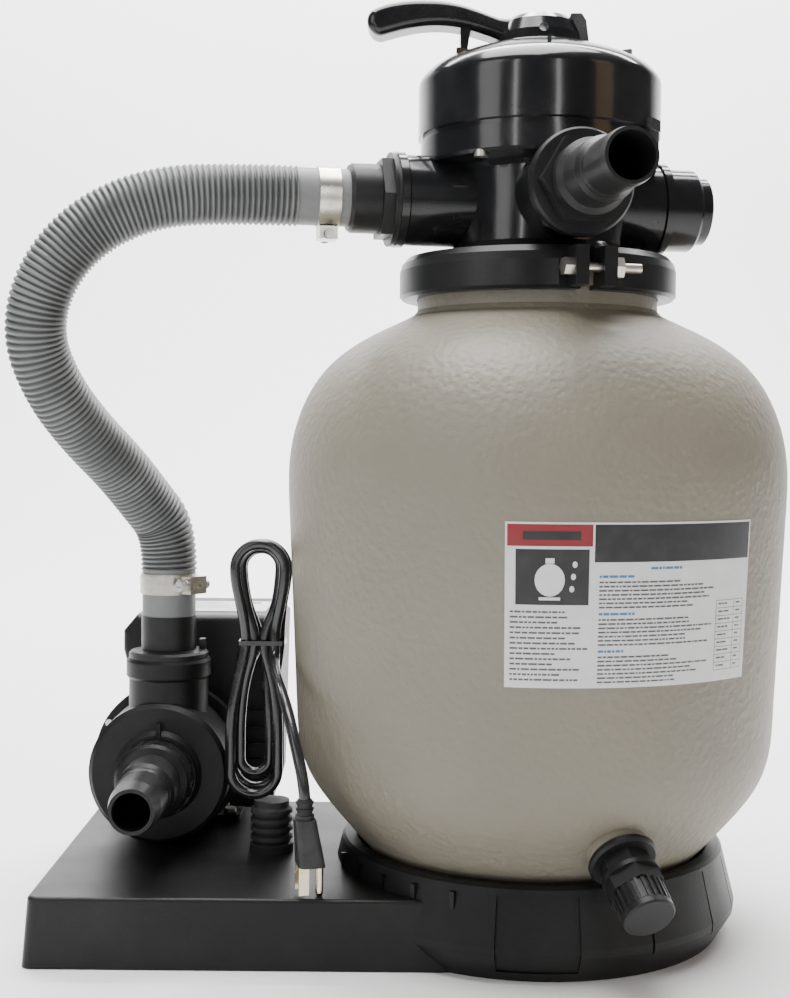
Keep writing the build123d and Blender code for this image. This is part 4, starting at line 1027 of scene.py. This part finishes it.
def drawn_steel(name, colour, stained, gloss_range, streak_scale):
    """Steel with drawing streaks, uneven gloss and a little tarnish."""
    material, nodes, links = blank_material(name)
    place = nodes.new("ShaderNodeTexCoord")
    place.label = "place on the metal"
    stretch = nodes.new("ShaderNodeMapping")
    stretch.label = "streaks along the run"
    streaks = nodes.new("ShaderNodeTexNoise")
    streaks.label = "drawing streaks"
    streak_relief = nodes.new("ShaderNodeBump")
    streak_relief.label = "streak relief"
    tarnish = nodes.new("ShaderNodeTexNoise")
    tarnish.label = "tarnish"
    tone = nodes.new("ShaderNodeValToRGB")
    tone.label = "bright to tarnished"
    gloss = nodes.new("ShaderNodeMapRange")
    gloss.label = "gloss range"
    shader = nodes.new("ShaderNodeBsdfPrincipled")
    shader.label = "steel"
    output = nodes.new("ShaderNodeOutputMaterial")
    output.label = "surface out"
    streak_frame = nodes.new("NodeFrame")
    streak_frame.label = "streaks"
    tarnish_frame = nodes.new("NodeFrame")
    tarnish_frame.label = "tarnish and gloss"
    enclose(streak_frame, stretch, streaks, streak_relief)
    enclose(tarnish_frame, tarnish, tone, gloss)
    spread(place, stretch, streaks, streak_relief, tarnish, tone, gloss, shader, output)
    stretch.inputs["Scale"].default_value = streak_scale
    streaks.inputs["Scale"].default_value = 6.0
    streaks.inputs["Detail"].default_value = 4.0
    streak_relief.inputs["Strength"].default_value = 0.12
    streak_relief.inputs["Distance"].default_value = 0.0002
    tarnish.inputs["Scale"].default_value = 120.0
    tarnish.inputs["Detail"].default_value = 5.0
    first_stop, last_stop = tone.color_ramp.elements
    first_stop.position = 0.45
    first_stop.color = (*colour, 1)
    last_stop.position = 0.80
    last_stop.color = (*stained, 1)
    gloss.inputs["To Min"].default_value = gloss_range[0]
    gloss.inputs["To Max"].default_value = gloss_range[1]
    shader.inputs["Metallic"].default_value = 1.0
    links.new(place.outputs["Object"], stretch.inputs["Vector"])
    links.new(place.outputs["Object"], tarnish.inputs["Vector"])
    links.new(stretch.outputs["Vector"], streaks.inputs["Vector"])
    links.new(streaks.outputs["Fac"], streak_relief.inputs["Height"])
    links.new(tarnish.outputs["Fac"], tone.inputs["Fac"])
    links.new(tarnish.outputs["Fac"], gloss.inputs["Value"])
    links.new(tone.outputs["Color"], shader.inputs["Base Color"])
    links.new(gloss.outputs["Result"], shader.inputs["Roughness"])
    links.new(streak_relief.outputs["Normal"], shader.inputs["Normal"])
    links.new(shader.outputs["BSDF"], output.inputs["Surface"])
    return material


bright_steel = drawn_steel("bright_steel", (0.55, 0.55, 0.54), (0.40, 0.39, 0.37), (0.22, 0.42),
                           (30, 30, 400))
zinc_plate = drawn_steel("zinc_plate", (0.62, 0.60, 0.54), (0.46, 0.42, 0.33), (0.25, 0.48), (60, 60, 60))
dress(bright_steel, "rotor_spring", "handle_pin")
dress(zinc_plate, "lid_screws")


# ---------------------------------------------------------------- flange clamp
# Two half rings of glass-filled plastic pull the valve down on the tank's neck.
# A zinc-plated hexagon bolt and nut closes them at each side.

clamp_black = moulded_plastic("clamp_black", (0.0075, 0.0077, 0.0085), (0.020, 0.020, 0.020), (0.24, 0.40),
                              900, 0.25, 12.0)
dress(clamp_black, "clamp_half_left", "clamp_half_right")
dress(zinc_plate, "clamp_bolts", "clamp_nuts")


# ---------------------------------------------------------------- screwed hose fittings
# Black stepped barbs with hexagons, screwed into the valve's ports and into the pump.
# They are moulded in glass-filled plastic, duller than the valve, and seal on flat washers.

dress(fitting_black, "pump_port_adapter", "return_adapter", "suction_adapter", "outlet_adapter")


# ---------------------------------------------------------------- hose ends
# Plain moulded cuffs grip the barbs under stainless worm-drive clamps.
# Each clamp is a rolled band drawn tight by a slotted hexagon screw in a pressed housing.

cuff_grey = moulded_plastic("cuff_grey", (0.175, 0.180, 0.180), (0.23, 0.23, 0.225), (0.36, 0.50),
                            700, 0.15, 20.0)
dress(cuff_grey, "hose_cuffs")
band_steel = drawn_steel("band_steel", (0.60, 0.58, 0.52), (0.44, 0.40, 0.32), (0.20, 0.38), (200, 200, 30))
dress(band_steel, "hose_clamps")
dress(bright_steel, "hose_clamp_screws")


# ---------------------------------------------------------------- pump
# Black wet end of front volute, back plate, impeller and seal, held by a ring of screws.
# The mouldings are semi-matt glass-filled plastic, greyer than the fittings where dust has settled.

pump_black = moulded_plastic("pump_black", (0.005, 0.005, 0.0052), (0.019, 0.0185, 0.018), (0.34, 0.52),
                             800, 0.40, 10.0)
dress(pump_black, "volute", "back_plate")
dress(black_rubber, "volute_gasket", "shaft_seal")
dress(zinc_plate, "pump_screws")
dress(white_moulding, "impeller")


# ---------------------------------------------------------------- motor
# Black moulded cover with a terminal housing over the barrel, on a saddle screwed to the deck.
# The laminated stator and rotor, the shaft in its bearings and the cooling fan are inside.


def laminated_core():
    """Thin steel sheets stacked along the shaft, with varnish between them."""
    material, nodes, links = blank_material("laminated_core")
    place = nodes.new("ShaderNodeTexCoord")
    place.label = "place on the stack"
    sheets = nodes.new("ShaderNodeTexWave")
    sheets.label = "sheet edges"
    tone = nodes.new("ShaderNodeValToRGB")
    tone.label = "steel and varnish"
    relief = nodes.new("ShaderNodeBump")
    relief.label = "sheet relief"
    shader = nodes.new("ShaderNodeBsdfPrincipled")
    shader.label = "core steel"
    output = nodes.new("ShaderNodeOutputMaterial")
    output.label = "surface out"
    stack_frame = nodes.new("NodeFrame")
    stack_frame.label = "stack"
    enclose(stack_frame, sheets, tone, relief)
    spread(place, sheets, tone, relief, shader, output)
    sheets.bands_direction = "Y"
    sheets.inputs["Scale"].default_value = 300.0
    first_stop, last_stop = tone.color_ramp.elements
    first_stop.color = (0.10, 0.08, 0.07, 1)
    last_stop.color = (0.34, 0.34, 0.35, 1)
    relief.inputs["Strength"].default_value = 0.3
    relief.inputs["Distance"].default_value = 0.0002
    shader.inputs["Metallic"].default_value = 0.8
    shader.inputs["Roughness"].default_value = 0.45
    links.new(place.outputs["Object"], sheets.inputs["Vector"])
    links.new(sheets.outputs["Fac"], tone.inputs["Fac"])
    links.new(sheets.outputs["Fac"], relief.inputs["Height"])
    links.new(tone.outputs["Color"], shader.inputs["Base Color"])
    links.new(relief.outputs["Normal"], shader.inputs["Normal"])
    links.new(shader.outputs["BSDF"], output.inputs["Surface"])
    return material


dress(pump_black, "motor_cover", "fan_grille", "motor_foot")
dress(bright_steel, "motor_shaft", "bearings")
dress(laminated_core(), "motor_rotor", "motor_stator")
dress(drawn_steel("wound_copper", (0.50, 0.19, 0.08), (0.30, 0.10, 0.05), (0.30, 0.45), (400, 30, 400)),
      "stator_windings")
dress(white_moulding, "cooling_fan", "run_capacitor")
dress(fitting_black, "cord_gland")


# ---------------------------------------------------------------- plug
# Three-pin plug moulded on the lead, grey-black and satin, with a ribbed strain relief.
# It has two flat blades and a round earth pin of plated brass.

plug_moulding = moulded_plastic("plug_moulding", (0.020, 0.020, 0.021), (0.045, 0.045, 0.045), (0.34, 0.48),
                                900, 0.2, 60.0)
dress(plug_moulding, "plug_body")
pin_metal = drawn_steel("pin_metal", (0.68, 0.60, 0.44), (0.52, 0.42, 0.26), (0.18, 0.34), (300, 300, 40))
dress(pin_metal, "plug_pins")
